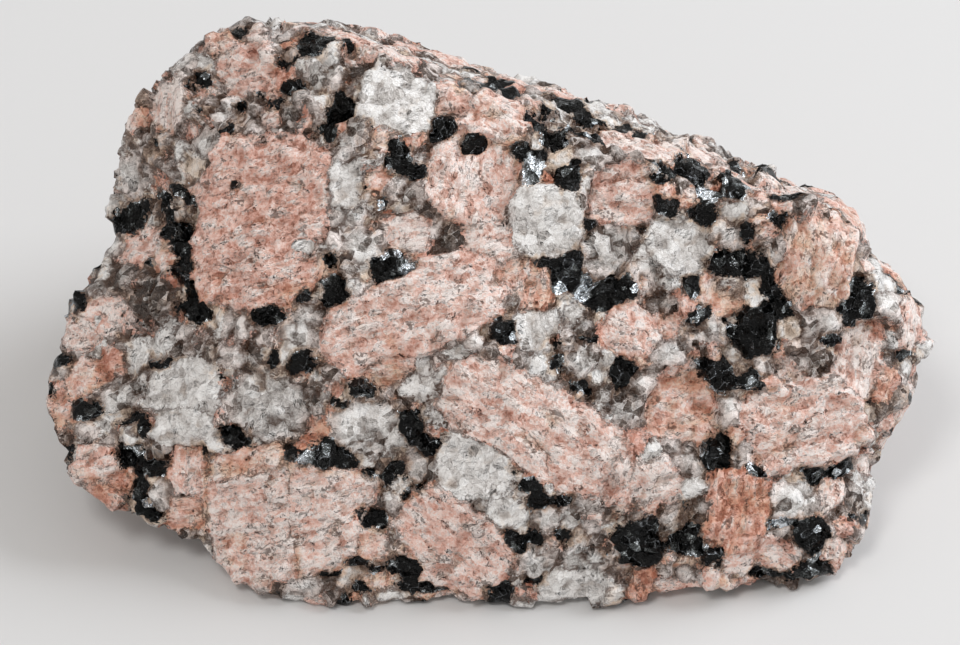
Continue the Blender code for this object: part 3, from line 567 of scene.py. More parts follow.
def slopes(points, planes):
    """Unit normals of the form at points on it."""
    steps = SLOPE_STEP * np.eye(3)
    rise = [form(points + step, planes) - form(points - step, planes) for step in steps]
    return unit(np.stack(rise, axis=1))


def on_form(directions, middle, planes):
    """The place where each ray from the middle leaves the form, by halving the range of the ray."""
    near = np.full(len(directions), RAY_RANGE[0])
    far = np.full(len(directions), RAY_RANGE[1])
    for _ in range(HALVINGS):
        half = (near + far) / 2
        inside = form(middle + directions * half[:, None], planes) < 0
        near = np.where(inside, half, near)
        far = np.where(inside, far, half)
    return middle + directions * near[:, None]


def on_sight_line(across, up, planes):
    """The place where the line of sight through each place of the broad face's plane first meets the form."""
    camera = from_face([(0, 0, CAMERA_DISTANCE)])[0]
    aims = unit(from_face(in_threes(across, up)) - camera)
    reaches = CAMERA_DISTANCE + np.arange(*SIGHT_RANGE, SIGHT_STEP)
    tried = camera + aims[:, None] * reaches[:, None]
    outside = form(tried.reshape(-1, 3), planes).reshape(len(aims), -1)
    inside = outside < 0
    first = np.where(inside.any(axis=1), inside.argmax(axis=1), outside.argmin(axis=1))
    return tried[np.arange(len(aims)), first]


def broken_faces(spacing, tilt, step, random):
    """Random seeds in the box round the stone, and the tilt and step of the broken face round each."""
    low, high = np.array(ROCK_BOX)
    count = int(np.prod((high - low) / spacing))
    seeds = random.uniform(low, high, (count, 3))
    tilts = random.normal(0, tilt, (count, 3))
    steps = random.uniform(-step, step, count)
    return seeds, tilts, steps


def ledges(points, grains, nearest):
    """Height of the coarse ledges: the seed nearest to a crystal's centre gives it a step and a tilt."""
    seeds, tilts, steps = broken_faces(LEDGE_SPACING, LEDGE_TILT, LEDGE_STEP, np.random.default_rng(SEED + 1))
    centres = grains.place[nearest]
    squares = (centres**2).sum(axis=1)[:, None] - 2 * centres @ seeds.T + (seeds**2).sum(axis=1)
    ledge = squares.argmin(axis=1)
    share = np.clip(STEADY_SIZE / grains.size[nearest], LEAST_TILT, 1)
    height = steps[ledge] + ((points - seeds[ledge]) * tilts[ledge]).sum(axis=1) * share
    return np.clip(height, -LEDGE_LIMIT, LEDGE_LIMIT)


def chipped(points, random):
    """Height of small broken faces: the seed nearest to a point gives it a step and a tilt."""
    seeds, tilts, steps = broken_faces(CHIP_SPACING, CHIP_TILT, CHIP_STEP, random)
    height = np.zeros(len(points))
    for mine, middle in blocks(points):
        close = np.flatnonzero(np.abs(seeds - middle).max(axis=1) < BLOCK / 2 + CHIP_SPACING * 2)
        apart = points[mine][:, None] - seeds[close]
        nearest = (apart**2).sum(axis=2).argmin(axis=1)
        offsets = apart[np.arange(len(mine)), nearest]
        height[mine] = steps[close[nearest]] + (offsets * tilts[close[nearest]]).sum(axis=1)
    return height


def standing_relief(points):
    """Height of the large crystals that stand out: blunt ellipses that fade out behind the broad face."""
    across, up, out = to_face(points).T
    near_face = np.clip((out + CRYSTAL_REACH) / CRYSTAL_FADE, 0, 1)
    inner, outer = CRYSTAL_EDGE
    height = np.zeros(len(points))
    for x, y, half_length, half_width, turn, rise in STANDING_CRYSTALS:
        along, beside = turned(across - x, up - y, turn)
        along = along / half_length
        edge = (along**4 + (beside / half_width) ** 4) ** 0.25
        height += rise * np.clip((outer - edge) / (outer - inner), 0, 1) * (1 + CRYSTAL_SLANT * along)
    return height * near_face


class Grains:
    """A packing of crystals, one to each row: centre, axes, half sizes, mineral, lightness and rust.

    The handicap is added to how far points lie outside a crystal, so that it gives way to its neighbours.
    """

    def __init__(self, place, axes, half, mineral, tone, stain, handicap):
        self.columns = {
            "place": place, "axes": axes, "half": half, "mineral": mineral, "tone": tone, "stain": stain,
            "handicap": handicap,
        }
        for name, column in self.columns.items():
            setattr(self, name, column)
        self.size = half.prod(axis=1) ** (1 / 3)
        self.power = np.array(BLOCKINESS)[mineral]

    def chosen(self, rows):
        """The crystals of these rows alone."""
        return Grains(**{name: column[rows] for name, column in self.columns.items()})

    def with_more(self, other):
        """These crystals and then the others."""
        return Grains(**{
            name: np.concatenate([column, other.columns[name]]) for name, column in self.columns.items()
        })

    def beyond(self, points):
        """How far each point lies outside each crystal: its rounded box's radius less one, times its size."""
        offsets = points[:, None] - self.place
        local = np.abs(np.einsum("pki,kji->pkj", offsets, self.axes)) / self.half
        radius = (local ** self.power[:, None]).sum(axis=2) ** (1 / self.power)
        return (radius - 1) * self.size * np.where(self.handicap < 0, HELD_TIGHTLY, 1) + self.handicap


def large_crystals(kinds, place, axes, half, random):
    """Large crystals of these kinds, each a little lighter or darker than its kind."""
    mineral, tone, stain = np.array([KINDS[kind] for kind in kinds]).T
    tone = tone + random.normal(0, TONE_SPREAD, len(kinds))
    return Grains(place, axes, half, mineral.astype(int), tone, stain, np.full(len(kinds), GIVING_WAY))


def listed_crystals(planes, random):
    """The crystals listed for the broad face, each set into the form where the line of sight meets it."""
    kinds = [kind for kind, rows in CRYSTALS.items() for _ in rows]
    across, up, half_length, half_width, turn = np.concatenate(list(CRYSTALS.values())).T
    place = on_sight_line(across, up, planes)
    facing = np.clip(slopes(place, planes) @ OUT_OF_FACE, 0, 1)
    along, beside = turned(ACROSS, UP_FACE, turn[:, None])
    axes = np.stack([along, beside, np.broadcast_to(OUT_OF_FACE, along.shape)], axis=1)
    depth = half_length * (GRAZED_DEPTH + (CRYSTAL_DEPTH - GRAZED_DEPTH) * facing)
    place = place - OUT_OF_FACE * (CENTRE_DEPTH * half_width)[:, None]
    return large_crystals(kinds, place, axes, in_threes(half_length, half_width, depth), random)


def hidden_crystals(planes, listed, random):
    """Large crystals on the sides that the camera doesn't see, tried in turn and kept where there is room."""
    kinds = [kind for kind, count, _, _ in HIDDEN_CRYSTALS for _ in range(count)]
    size = np.concatenate([
        np.sort(random.uniform(shortest, longest, tried))[::-1]
        for _, tried, shortest, longest in HIDDEN_CRYSTALS
    ])
    count = len(kinds)
    place = on_form(unit(random.normal(size=(count, 3))), from_face([MIDDLE])[0], planes)
    normal = slopes(place, planes)
    along = unit(np.cross(normal, random.normal(size=normal.shape)))
    axes = np.stack([along, np.cross(normal, along), normal], axis=1)
    width = random.uniform(*HIDDEN_WIDTHS, count)
    depth = random.uniform(*HIDDEN_DEPTHS, count)
    half = in_threes(size, size * width, size * depth)
    room = (normal @ OUT_OF_FACE < HIDDEN_FACING) & (listed.beyond(place).min(axis=1) > size * GAP_TO_LISTED)
    kept = []
    for number in np.flatnonzero(room):
        gaps = np.linalg.norm(place[kept] - place[number], axis=1)
        if np.all(gaps > (size[kept] + size[number]) * HIDDEN_GAP):
            kept.append(number)
    place = place - normal * (CENTRE_DEPTH * half[:, 1])[:, None]
    return large_crystals(kinds, place, axes, half, random).chosen(kept)


def small_grains(planes, large, grain_size, random):
    """Small grains on a jittered lattice round the form. A large crystal holds only a few of them."""
    lines = [np.arange(start, end, grain_size) for start, end in zip(*ROCK_BOX)]
    place = np.stack(np.meshgrid(*lines, indexing="ij"), axis=-1).reshape(-1, 3)
    place = place + random.uniform(-SMALL_STRAY, SMALL_STRAY, place.shape) * grain_size
    count = len(place)
    axes = np.linalg.qr(random.normal(size=(count, 3, 3)))[0]
    shortest, longest = SMALL_HALF_SIZES
    half = shortest * (longest / shortest) ** random.uniform(size=(count, 1))
    half = half * random.uniform(*SMALL_SHAPES, (count, 3))
    draw, light, rust = random.uniform(size=(3, count))
    drift = waves(place, DRIFT_LENGTH, random) * DRIFT
    seen = slopes(place, planes) @ OUT_OF_FACE > HIDDEN_FACING
    mica, pink, white = (np.where(seen, *shares) for shares in zip(SEEN_SHARES, HIDDEN_SHARES))
    mica = mica * (1 + drift)
    tops = np.cumsum([mica, pink, white * (1 - drift)], axis=0)
    mineral = np.select(list(draw < tops), [MICA, FELDSPAR, WHITE], QUARTZ)
    tone = np.interp(light, (0, 1), SMALL_TONES)
    tone = np.where(mineral == MICA, np.interp(light, (0, 1), SMALL_MICA_TONES), tone)
    stain = np.where(rust > 1 - RUSTY_SHARE, RUSTY_STAIN, 0.0)
    grains = Grains(place, axes, half, mineral, tone, stain, np.zeros(count))
    grains = grains.chosen((np.abs(form(place, planes)) < SHELL) & (random.uniform(size=count) < SMALL_SHARE))
    outside = outside_all(grains.place, large)
    held = (outside < -HELD_DEPTH) & (random.uniform(size=len(outside)) < HELD_SHARE)
    grains.columns["handicap"] = np.where(held, outside - HELD_LEAD, 0)
    return grains.chosen(held | (outside > CLEAR_OF_LARGE))


def blocks(points):
    """Numbers of the points in each block of space that holds any, with the block's middle."""
    corner = np.floor(points / BLOCK).astype(int)
    names, which = np.unique(corner, axis=0, return_inverse=True)
    order = np.argsort(which.ravel(), kind="stable")
    ends = np.cumsum(np.bincount(which.ravel()))
    return [(order[end - size:end], (name + 0.5) * BLOCK)
            for name, end, size in zip(names, ends, np.diff(ends, prepend=0))]


def nearby(grains, middle):
    """Numbers of the grains that may reach into a block."""
    half_diagonal = BLOCK * math.sqrt(3) / 2
    reach = half_diagonal + MARGIN + grains.half.max(axis=1)
    return np.flatnonzero(np.linalg.norm(grains.place - middle, axis=1) < reach)


def outside_all(points, grains):
    """How far each point lies outside the nearest of the grains."""
    outside = np.full(len(points), FAR)
    for mine, middle in blocks(points):
        close = nearby(grains, middle)
        if len(close):
            outside[mine] = grains.chosen(close).beyond(points[mine]).min(axis=1)
    return outside


def packing(points, grains, sides):
    """For each point the nearest grain, the distance to its border, and how far inside minerals and sides.

    How far inside a mineral is half of the distance outside all others less the distance outside it. A side
    is a toss of a coin for each grain, so most borders between grains of one mineral are borders of a side.
    """
    count = len(points)
    nearest = np.zeros(count, int)
    rim = np.zeros(count)
    inside = np.zeros((count, 4))
    inside_side = np.zeros((count, sides.shape[1]))
    for mine, middle in blocks(points):
        close = nearby(grains, middle)
        distance = grains.chosen(close).beyond(points[mine])
        nearest[mine] = close[distance.argmin(axis=1)]
        two = np.partition(distance, 1, axis=1)[:, :2]
        rim[mine] = (two[:, 1] - two[:, 0]) / 2
        for mineral in range(4):
            inside[mine, mineral] = border(distance, grains.mineral[close] == mineral)
        for side in range(sides.shape[1]):
            inside_side[mine, side] = border(distance, sides[close, side])
    return nearest, rim, inside, inside_side


def border(distance, chosen):
    """Half of the distance outside the grains that aren't chosen less the distance outside those that are."""
    others = distance[:, ~chosen].min(axis=1, initial=FAR)
    own = distance[:, chosen].min(axis=1, initial=FAR)
    return np.clip((others - own) / 2, -FAR, FAR)


def cleavage_of(grains):
    """Which of the three ways each feldspar breaks: the one nearest to the crystal's own turn."""
    along = grains.axes[:, 0] @ FACE_AXES.T
    turn = np.degrees(np.arctan2(along[:, 1], along[:, 0]))
    apart = np.abs((turn[:, None] - np.array(CLEAVAGE_TURNS) + 90) % 180 - 90)
    return apart.argmin(axis=1)


def crack_field(points, facing):
    """Signed distance from the nearest crack, positive on its left, and 1 where the crack counts, else 0."""
    across, up = seen_straight_on(points)
    nearest = np.full(len(points), np.inf)
    side = np.zeros(len(points))
    for x0, y0, x1, y1 in CRACKS:
        length = math.hypot(x1 - x0, y1 - y0)
        run_x, run_y = (x1 - x0) / length, (y1 - y0) / length
        along = (across - x0) * run_x + (up - y0) * run_y
        off = (up - y0) * run_x - (across - x0) * run_y
        gap = np.hypot(off, np.maximum(np.maximum(-along, along - length), 0))
        closer = gap < nearest
        side = np.where(closer, off, side)
        nearest = np.where(closer, gap, nearest)
    counts = (nearest < CRACK_REACH) & (facing > CRACK_FACING)
    return side, counts.astype(float)


def stain_field(points, facing):
    """Strength of the rust stains: bell curves over ellipses, as seen straight on."""
    across, up = seen_straight_on(points)
    stain = np.zeros(len(points))
    for x, y, half_length, half_width, turn, strength in STAINS:
        along, beside = turned(across - x, up - y, turn)
        stain += strength * np.exp(-((along / half_length) ** 2) - (beside / half_width) ** 2)
    return stain * (facing > 0)


def box_lattice(cells):
    """Lattice points on the surface of a gridded box, and its four-sided faces, wound to face outwards.

    Each side of the box is a grid over two of its directions, at one end of the third.
    """
    spans = np.array(cells) + 1
    weights = np.array([spans[1] * spans[2], spans[2], 1])
    places, faces = [], []
    for axis in range(3):
        first, second = (axis + 1) % 3, (axis + 2) % 3
        grid = np.meshgrid(np.arange(spans[first]), np.arange(spans[second]), indexing="ij")
        for end in (0, cells[axis]):
            side = np.zeros(grid[0].shape + (3,), int)
            side[..., axis] = end
            side[..., first], side[..., second] = grid
            names = side @ weights
            corners = [names[:-1, :-1], names[1:, :-1], names[1:, 1:], names[:-1, 1:]]
            faces.append(np.stack(corners if end else corners[::-1], axis=-1).reshape(-1, 4))
            places.append(side.reshape(-1, 3))
    places = np.concatenate(places)
    names, first_use = np.unique(places @ weights, return_index=True)
    return places[first_use], np.searchsorted(names, np.concatenate(faces))


def rested(points, pits):
    """The underside made flat on its resting spot, but for pits, and kept clear of the floor round it."""
    x, y, z = points.T
    spot_x, spot_y, half_length, half_width = RESTING_SPOT
    ring = np.hypot((x - spot_x) / half_length, (y - spot_y) / half_width)
    clear = np.clip((ring - 1) / UNDERSIDE_BLEND, 0, 1)
    low = z < UNDERSIDE_HEIGHT
    height = np.maximum(z, UNDERSIDE_CLEARANCE) * clear + pits * (1 - clear)
    points[:, 2] = np.where(low, height, z)
    return points


def grain_relief(points, grains, nearest, rim, shape, random):
    """Height of the fine relief: tilted faces, grooves between grains, domes of quartz, feldspar terraces.

    A groove or dome fades as e to the power of minus the distance to the border over its width. A terrace is
    a ramp that drops back at each of its edges, and is higher on a larger feldspar.
    """
    mineral = grains.mineral[nearest]
    count = len(grains.place)
    tilts = random.normal(0, 1, (count, 3)) * np.array(FACE_TILT)[grains.mineral][:, None]
    steps = random.uniform(-1, 1, count) * np.array(FACE_STEP)[grains.mineral]
    offsets = points - grains.place[nearest]
    height = steps[nearest] + np.clip((offsets * tilts[nearest]).sum(axis=1), -FACE_LIMIT, FACE_LIMIT)
    height -= shape.groove_depth / MM * np.exp(-rim / GROOVE_WIDTH)
    height += shape.dome_height / MM * (mineral == QUARTZ) * (1 - np.exp(-rim / DOME_WIDTH))
    width = random.uniform(*TERRACE_WIDTH, count)[nearest]
    beside = (offsets * grains.axes[nearest, 1]).sum(axis=1) / width + random.uniform(size=count)[nearest]
    share = np.interp(grains.size[nearest], TERRACED_SIZES, (0, 1)) * (mineral == FELDSPAR)
    height += TERRACE_HEIGHT * share * (0.5 - beside % 1)
    return height


def stone_surface(shape):
    """Points of the finished surface, its faces, and the named values that its points carry."""
    planes = hull_planes()
    lattice, faces = box_lattice(shape.cells)
    places = (lattice / np.array(shape.cells) * 2 - 1) * BOX_HALF_SIZES
    points = on_form(unit(places @ FACE_AXES), from_face([MIDDLE])[0], planes)
    normals = slopes(points, planes)
    facing = normals @ OUT_OF_FACE

    random = np.random.default_rng(SEED + 2)
    listed = listed_crystals(planes, random)
    large = listed.with_more(hidden_crystals(planes, listed, random))
    grains = large.with_more(small_grains(planes, large, shape.grain_size / MM, random))
    sides = random.uniform(size=(len(grains.place), 2)) < 0.5
    wander = np.stack([waves(points, WANDER_LENGTH, random) for _ in range(3)], axis=1) * WANDER
    nearest, rim, inside, inside_side = packing(points + wander, grains, sides)

    crack, cracked = crack_field(points, facing)
    fine = grain_relief(points, grains, nearest, rim, shape, random) + chipped(points, random)
    fine -= CRACK_DEPTH * np.exp(-((crack / CRACK_WIDTH) ** 2)) * cracked
    fine = smoothed(fine, faces)
    around = fine
    for _ in range(ROUNDS_AROUND):
        around = smoothed(around, faces)
    coarse = standing_relief(points) + ledges(points, grains, nearest)
    points = points + normals * (coarse + fine)[:, None]
    points = rested(points, np.clip(PIT_START - fine, 0, PIT_LIMIT))

    faint_rust = np.clip(waves(points, FAINT_RUST_LENGTH, random) - FAINT_RUST_LEVEL, 0, FAINT_RUST_LIMIT)
    stain = grains.stain[nearest] + stain_field(points, facing) + faint_rust
    # How far sunk a point is: the shader paints shade into sunk places and lets rust into them.
    sunk = np.clip((around - fine) / DEPTH_OF_PITS, -1, 1)
    values = {
        "inside_mineral": inside[:, [FELDSPAR, WHITE, MICA]],
        "inside_side": in_threes(*inside_side.T),
        "tint": in_threes(grains.tone[nearest], stain, sunk),
        "cleavage": np.eye(3)[cleavage_of(grains)][nearest],
        "crack": in_threes(crack, cracked),
    }
    return points, faces, values


def smoothed(values, faces):
    """Each point's value halfway to the mean of the points that it shares an edge with."""
    ends = np.concatenate([faces, np.roll(faces, 1, axis=1)], axis=1).reshape(-1, 2, 4)
    first, second = ends[:, 0].ravel(), ends[:, 1].ravel()
    total = np.bincount(first, values[second], len(values)) + np.bincount(second, values[first], len(values))
    shared = np.bincount(first, minlength=len(values)) + np.bincount(second, minlength=len(values))
    return (values + total / shared) / 2


def surface_object(name, points, faces, values=()):
    """A smooth-shaded mesh object at the origin, from points in metres, with named vectors on its points."""
    mesh = bpy.data.meshes.new(name)
    mesh.from_pydata(points, [], faces)
    for value_name, value in dict(values).items():
        attribute = mesh.attributes.new(value_name, "FLOAT_VECTOR", "POINT")
        attribute.data.foreach_set("vector", np.ascontiguousarray(value, np.float32).ravel())
    mesh.shade_smooth()
    mesh.update()
    made = bpy.data.objects.new(name, mesh)
    bpy.context.scene.collection.objects.link(made)
    return made


class Wire:
    """An output socket. Arithmetic with wires and numbers adds the Math nodes that work it out."""

    def __init__(self, graph, socket):
        self.graph = graph
        self.socket = socket

    def __add__(self, other):
        return self.graph.math("ADD", self, other)

    __radd__ = __add__

    def __sub__(self, other):
        return self.graph.math("SUBTRACT", self, other)

    def __rsub__(self, other):
        return self.graph.math("SUBTRACT", other, self)

    def __mul__(self, other):
        return self.graph.math("MULTIPLY", self, other)

    def __truediv__(self, other):
        return self.graph.math("DIVIDE", self, other)

    def __abs__(self):
        return self.graph.math("ABSOLUTE", self)

    def clipped(self):
        """The value kept between 0 and 1."""
        return self.graph.math("ADD", self, 0.0, clip=True)

    def rising(self, edge, width):
        """0 below the edge and 1 above it, with a ramp of this width across it."""
        return ((self - edge) / width + 0.5).clipped()

    def lower_of(self, other):
        """The lower of two values."""
        return self.graph.math("MINIMUM", self, other)

    def higher_of(self, other):
        """The higher of two values."""
        return self.graph.math("MAXIMUM", self, other)

    def output(self, name):
        """Another output of the same node."""
        return Wire(self.graph, self.socket.node.outputs[name])


class Graph:
    """The nodes of one material. add() adds any node from its type, its settings and its sockets' values."""

    def __init__(self, name):
        self.material = bpy.data.materials.new(name)
        self.material.use_nodes = True
        self.nodes = self.material.node_tree.nodes
        self.links = self.material.node_tree.links
        self.nodes.clear()

    def add(self, kind, settings=(), sockets=(), output=0):
        """A node: settings are set first, a ramp's stops among them, then each socket's value or wire."""
        node = self.nodes.new(kind)
        for name, value in dict(settings).items():
            if name == "stops":
                for number, (position, colour) in enumerate(value):
                    elements = node.color_ramp.elements
                    stop = elements[number] if number < 2 else elements.new(position)
                    stop.position = position
                    stop.color = colour
            else:
                setattr(node, name, value)
        for name, value in dict(sockets).items():
            if isinstance(value, Wire):
                self.links.new(value.socket, node.inputs[name])
            else:
                node.inputs[name].default_value = value
        return Wire(self, node.outputs[output]) if node.outputs else node

    def math(self, operation, *values, clip=False):
        """A Math node."""
        return self.add("ShaderNodeMath", {"operation": operation, "use_clamp": clip}, enumerate(values))

    def vector(self, operation, *values, scale=None):
        """A Vector Math node."""
        sockets = dict(enumerate(values))
        if scale is not None:
            sockets["Scale"] = scale
        return self.add("ShaderNodeVectorMath", {"operation": operation}, sockets)

    def mix(self, factor, first, second, blend="MIX"):
        """A mix of two colours."""
        settings = {"data_type": "RGBA", "blend_type": blend, "clamp_factor": True}
        return self.add("ShaderNodeMix", settings, {0: factor, 6: first, 7: second}, output=2)

    def noise(self, place, size, detail=1.0, roughness=0.5):
        """Cloudy values round 0.5, in lumps of about this size in millimetres."""
        sockets = {"Vector": place, "Scale": 1 / size, "Detail": detail, "Roughness": roughness}
        return self.add("ShaderNodeTexNoise", (), sockets, "Fac")

    def cells(self, place, size, feature="F1"):
        """Random cells of about this size: each cell's own random colour, and the distance to its middle."""
        sockets = {"Vector": place, "Scale": 1 / size}
        colour = self.add("ShaderNodeTexVoronoi", {"feature": feature}, sockets, "Color")
        return colour, colour.output("Distance")

    def centred(self, colour):
        """A random colour as a random vector about nought."""
        return self.vector("SUBTRACT", colour, (0.5, 0.5, 0.5))

    def split(self, vector):
        """The three numbers of a vector or colour."""
        first = self.add("ShaderNodeSeparateXYZ", (), {"Vector": vector})
        return first, first.output("Y"), first.output("Z")

    def ramp(self, factor, *stops):
        """A colour ramp through these stops of position and colour."""
        return self.add("ShaderNodeValToRGB", {"stops": stops}, {"Fac": factor}, "Color")

    def parts(self, name):
        """The three numbers of a named vector on the mesh."""
        return self.split(self.add("ShaderNodeAttribute", {"attribute_name": name}, (), "Vector"))


def along_cleavage(graph, place):
    """The place, turned and drawn out so that cells of one unit lie along the feldspar's own cleavage."""
    laid = (0.0, 0.0, 0.0)
    for turn, breaks in zip(CLEAVAGE_TURNS, graph.parts("cleavage")):
        axes = Matrix((*turned(ACROSS, UP_FACE, turn), OUT_OF_FACE))
        drawn_out = graph.add("ShaderNodeMapping", {"vector_type": "TEXTURE"}, {
            "Vector": place, "Rotation": axes.transposed().to_euler(), "Scale": FLAKE_SIZES,
        })
        laid = graph.vector("ADD", laid, graph.vector("SCALE", drawn_out, scale=breaks.rising(0.5, 0.1)))
    return laid


class Patterns:
    """What the minerals share: the values that the stone's points carry, noise, and cells of broken stone.

    Crumbs fill everything, glassy lumps fill quartz and white feldspar, and flakes lie along the cleavage.
    Each cell has a random vector about nought, whose three numbers end in a, b and c here.
    """

    def __init__(self, graph):
        self.graph = graph
        self.feldspar_in, self.white_in, self.mica_in = graph.parts("inside_mineral")
        self.side_a, self.side_b, _ = graph.parts("inside_side")
        self.tone, self.stain, self.sunk = graph.parts("tint")
        self.crack_off, self.cracked, _ = graph.parts("crack")

        self.place = graph.vector("SCALE", graph.add("ShaderNodeTexCoord", (), (), "Object"), scale=1 / MM)
        self.speck = graph.noise(self.place, SPECK_SIZE) - 0.5
        self.patch = graph.noise(self.place, PATCH_SIZE) - 0.5
        sway = graph.noise(self.place, MOTTLE_SIZE)
        self.mottle = sway - 0.5
        bent = graph.vector("ADD", self.place, graph.vector("SCALE", sway.output("Color"), scale=BENDING))
        laid = along_cleavage(graph, bent)
        squeezed = graph.vector("MULTIPLY", laid, LINE_SQUEEZE)
        self.lines = graph.noise(squeezed, 1.0, detail=2.0, roughness=0.55)

        crumb, _ = graph.cells(bent, CRUMB_SIZE)
        lump, lump_off = graph.cells(bent, LUMP_SIZE)
        _, next_off = graph.cells(bent, LUMP_SIZE, "F2")
        flake, _ = graph.cells(laid, 1.0)
        self.seam = (1 - (next_off - lump_off) / SEAM_WIDTH).clipped()
        self.crumb, self.lump, self.flake = graph.centred(crumb), graph.centred(lump), graph.centred(flake)
        self.crumb_a, self.crumb_b, self.crumb_c = graph.split(self.crumb)
        self.lump_a, self.lump_b, self.lump_c = graph.split(self.lump)
        self.flake_a, self.flake_b, self.flake_c = graph.split(self.flake)

    def level(self, base=0.0, **weights):
        """The base and each of these patterns times its weight, added up."""
        return sum((getattr(self, name) * weight for name, weight in weights.items()), base)


def pink_feldspar(rock, colours):
    """Flaky pink with deeper lines, torn along them here and there, and dark where a flake has come out: darker
    where sunk and in the hollows as painted shade, and in the tears as painted shade and dark stain.
    """
    level = rock.level(0.68, flake_a=0.5, crumb_a=0.4, speck=0.7, patch=1.1, tone=0.4, sunk=-0.16)
    pink = rock.graph.ramp(
        level,
        (0.0, colours.deep_pink), (0.3, colours.pink), (0.6, colours.pale_pink), (0.95, colours.blush),
    )
    deeper = rock.level(lines=1, speck=0.3).rising(0.6, 0.12)
    pink = rock.graph.mix(deeper * 0.35, pink, colours.deep_pink)
    torn = (1 - abs(rock.lines - 0.5) / TEAR_WIDTH).clipped()
    torn = torn * rock.level(patch=1, speck=0.4, flake_b=0.3).rising(0.1, 0.08)
    # Hollows where a flake has come out are painted shade.
    hollow_shade = rock.level(flake_c=1, crumb_c=0.3, patch=0.9).rising(0.55, 0.08)
    return rock.graph.mix((torn + hollow_shade).clipped() * 0.75, pink, colours.gap_shade_and_stain)


def white_feldspar(rock, colours):
    """Lumpy white with grey in it, darker where sunk as painted shade."""
    level = rock.level(0.73, lump_a=0.4, crumb_a=0.15, speck=0.6, mottle=0.7, tone=0.3, sunk=-0.16)
    return rock.graph.ramp(
        level,
        (0.0, colours.dim_grey), (0.3, colours.grey), (0.55, colours.milky), (0.9, colours.white),
    )


def quartz(rock, colours):
    """Glassy lumps from smoky to white, with bright rims on some, pinker towards the feldspar, and darker where
    sunk as painted shade.
    """
    level = rock.level(0.51, lump_a=0.6, crumb_a=0.12, speck=0.5, mottle=0.6, tone=0.36, sunk=-0.16)
    glass = rock.graph.ramp(
        level,
        (0.0, colours.smoky), (0.32, colours.dim_grey), (0.55, colours.grey), (0.8, colours.milky),
        (1.0, colours.white),
    )
    rim = rock.seam * rock.lump_b.rising(0.0, 0.2) * level.rising(0.25, 0.25)
    glass = rock.graph.mix(rim * 0.5, glass, colours.white)
    beside_pink = rock.level(feldspar_in=1, mottle=1).rising(-0.8, 0.7)
    return rock.graph.mix(beside_pink * 0.3, glass, colours.pale_pink, "MULTIPLY")


def black_mica(rock, colours):
    """Black leaves, of which some have a painted sheen and a few a painted silvery glint, and a few pale seams
    that are painted glints.
    """
    # Painted sheen: some lumps of mica are made lighter, as if they caught the light.
    painted_sheen = rock.lump_c.rising(0.34, 0.05) * 0.4
    level = rock.level(0.3 + painted_sheen, lump_a=0.4, flake_a=0.3, tone=0.5, mottle=0.5, speck=0.5)
    leaves = rock.graph.ramp(
        level, (0.0, colours.mica), (0.32, colours.mica), (0.55, colours.mica_sheen), (0.85, colours.flake),
    )
    # Pale seams between lumps are painted glints on the mica's edges.
    seam_glint = rock.seam * rock.level(lump_b=1, mottle=1).rising(0.22, 0.1)
    return rock.graph.mix(seam_glint * 0.25, leaves, colours.flake)


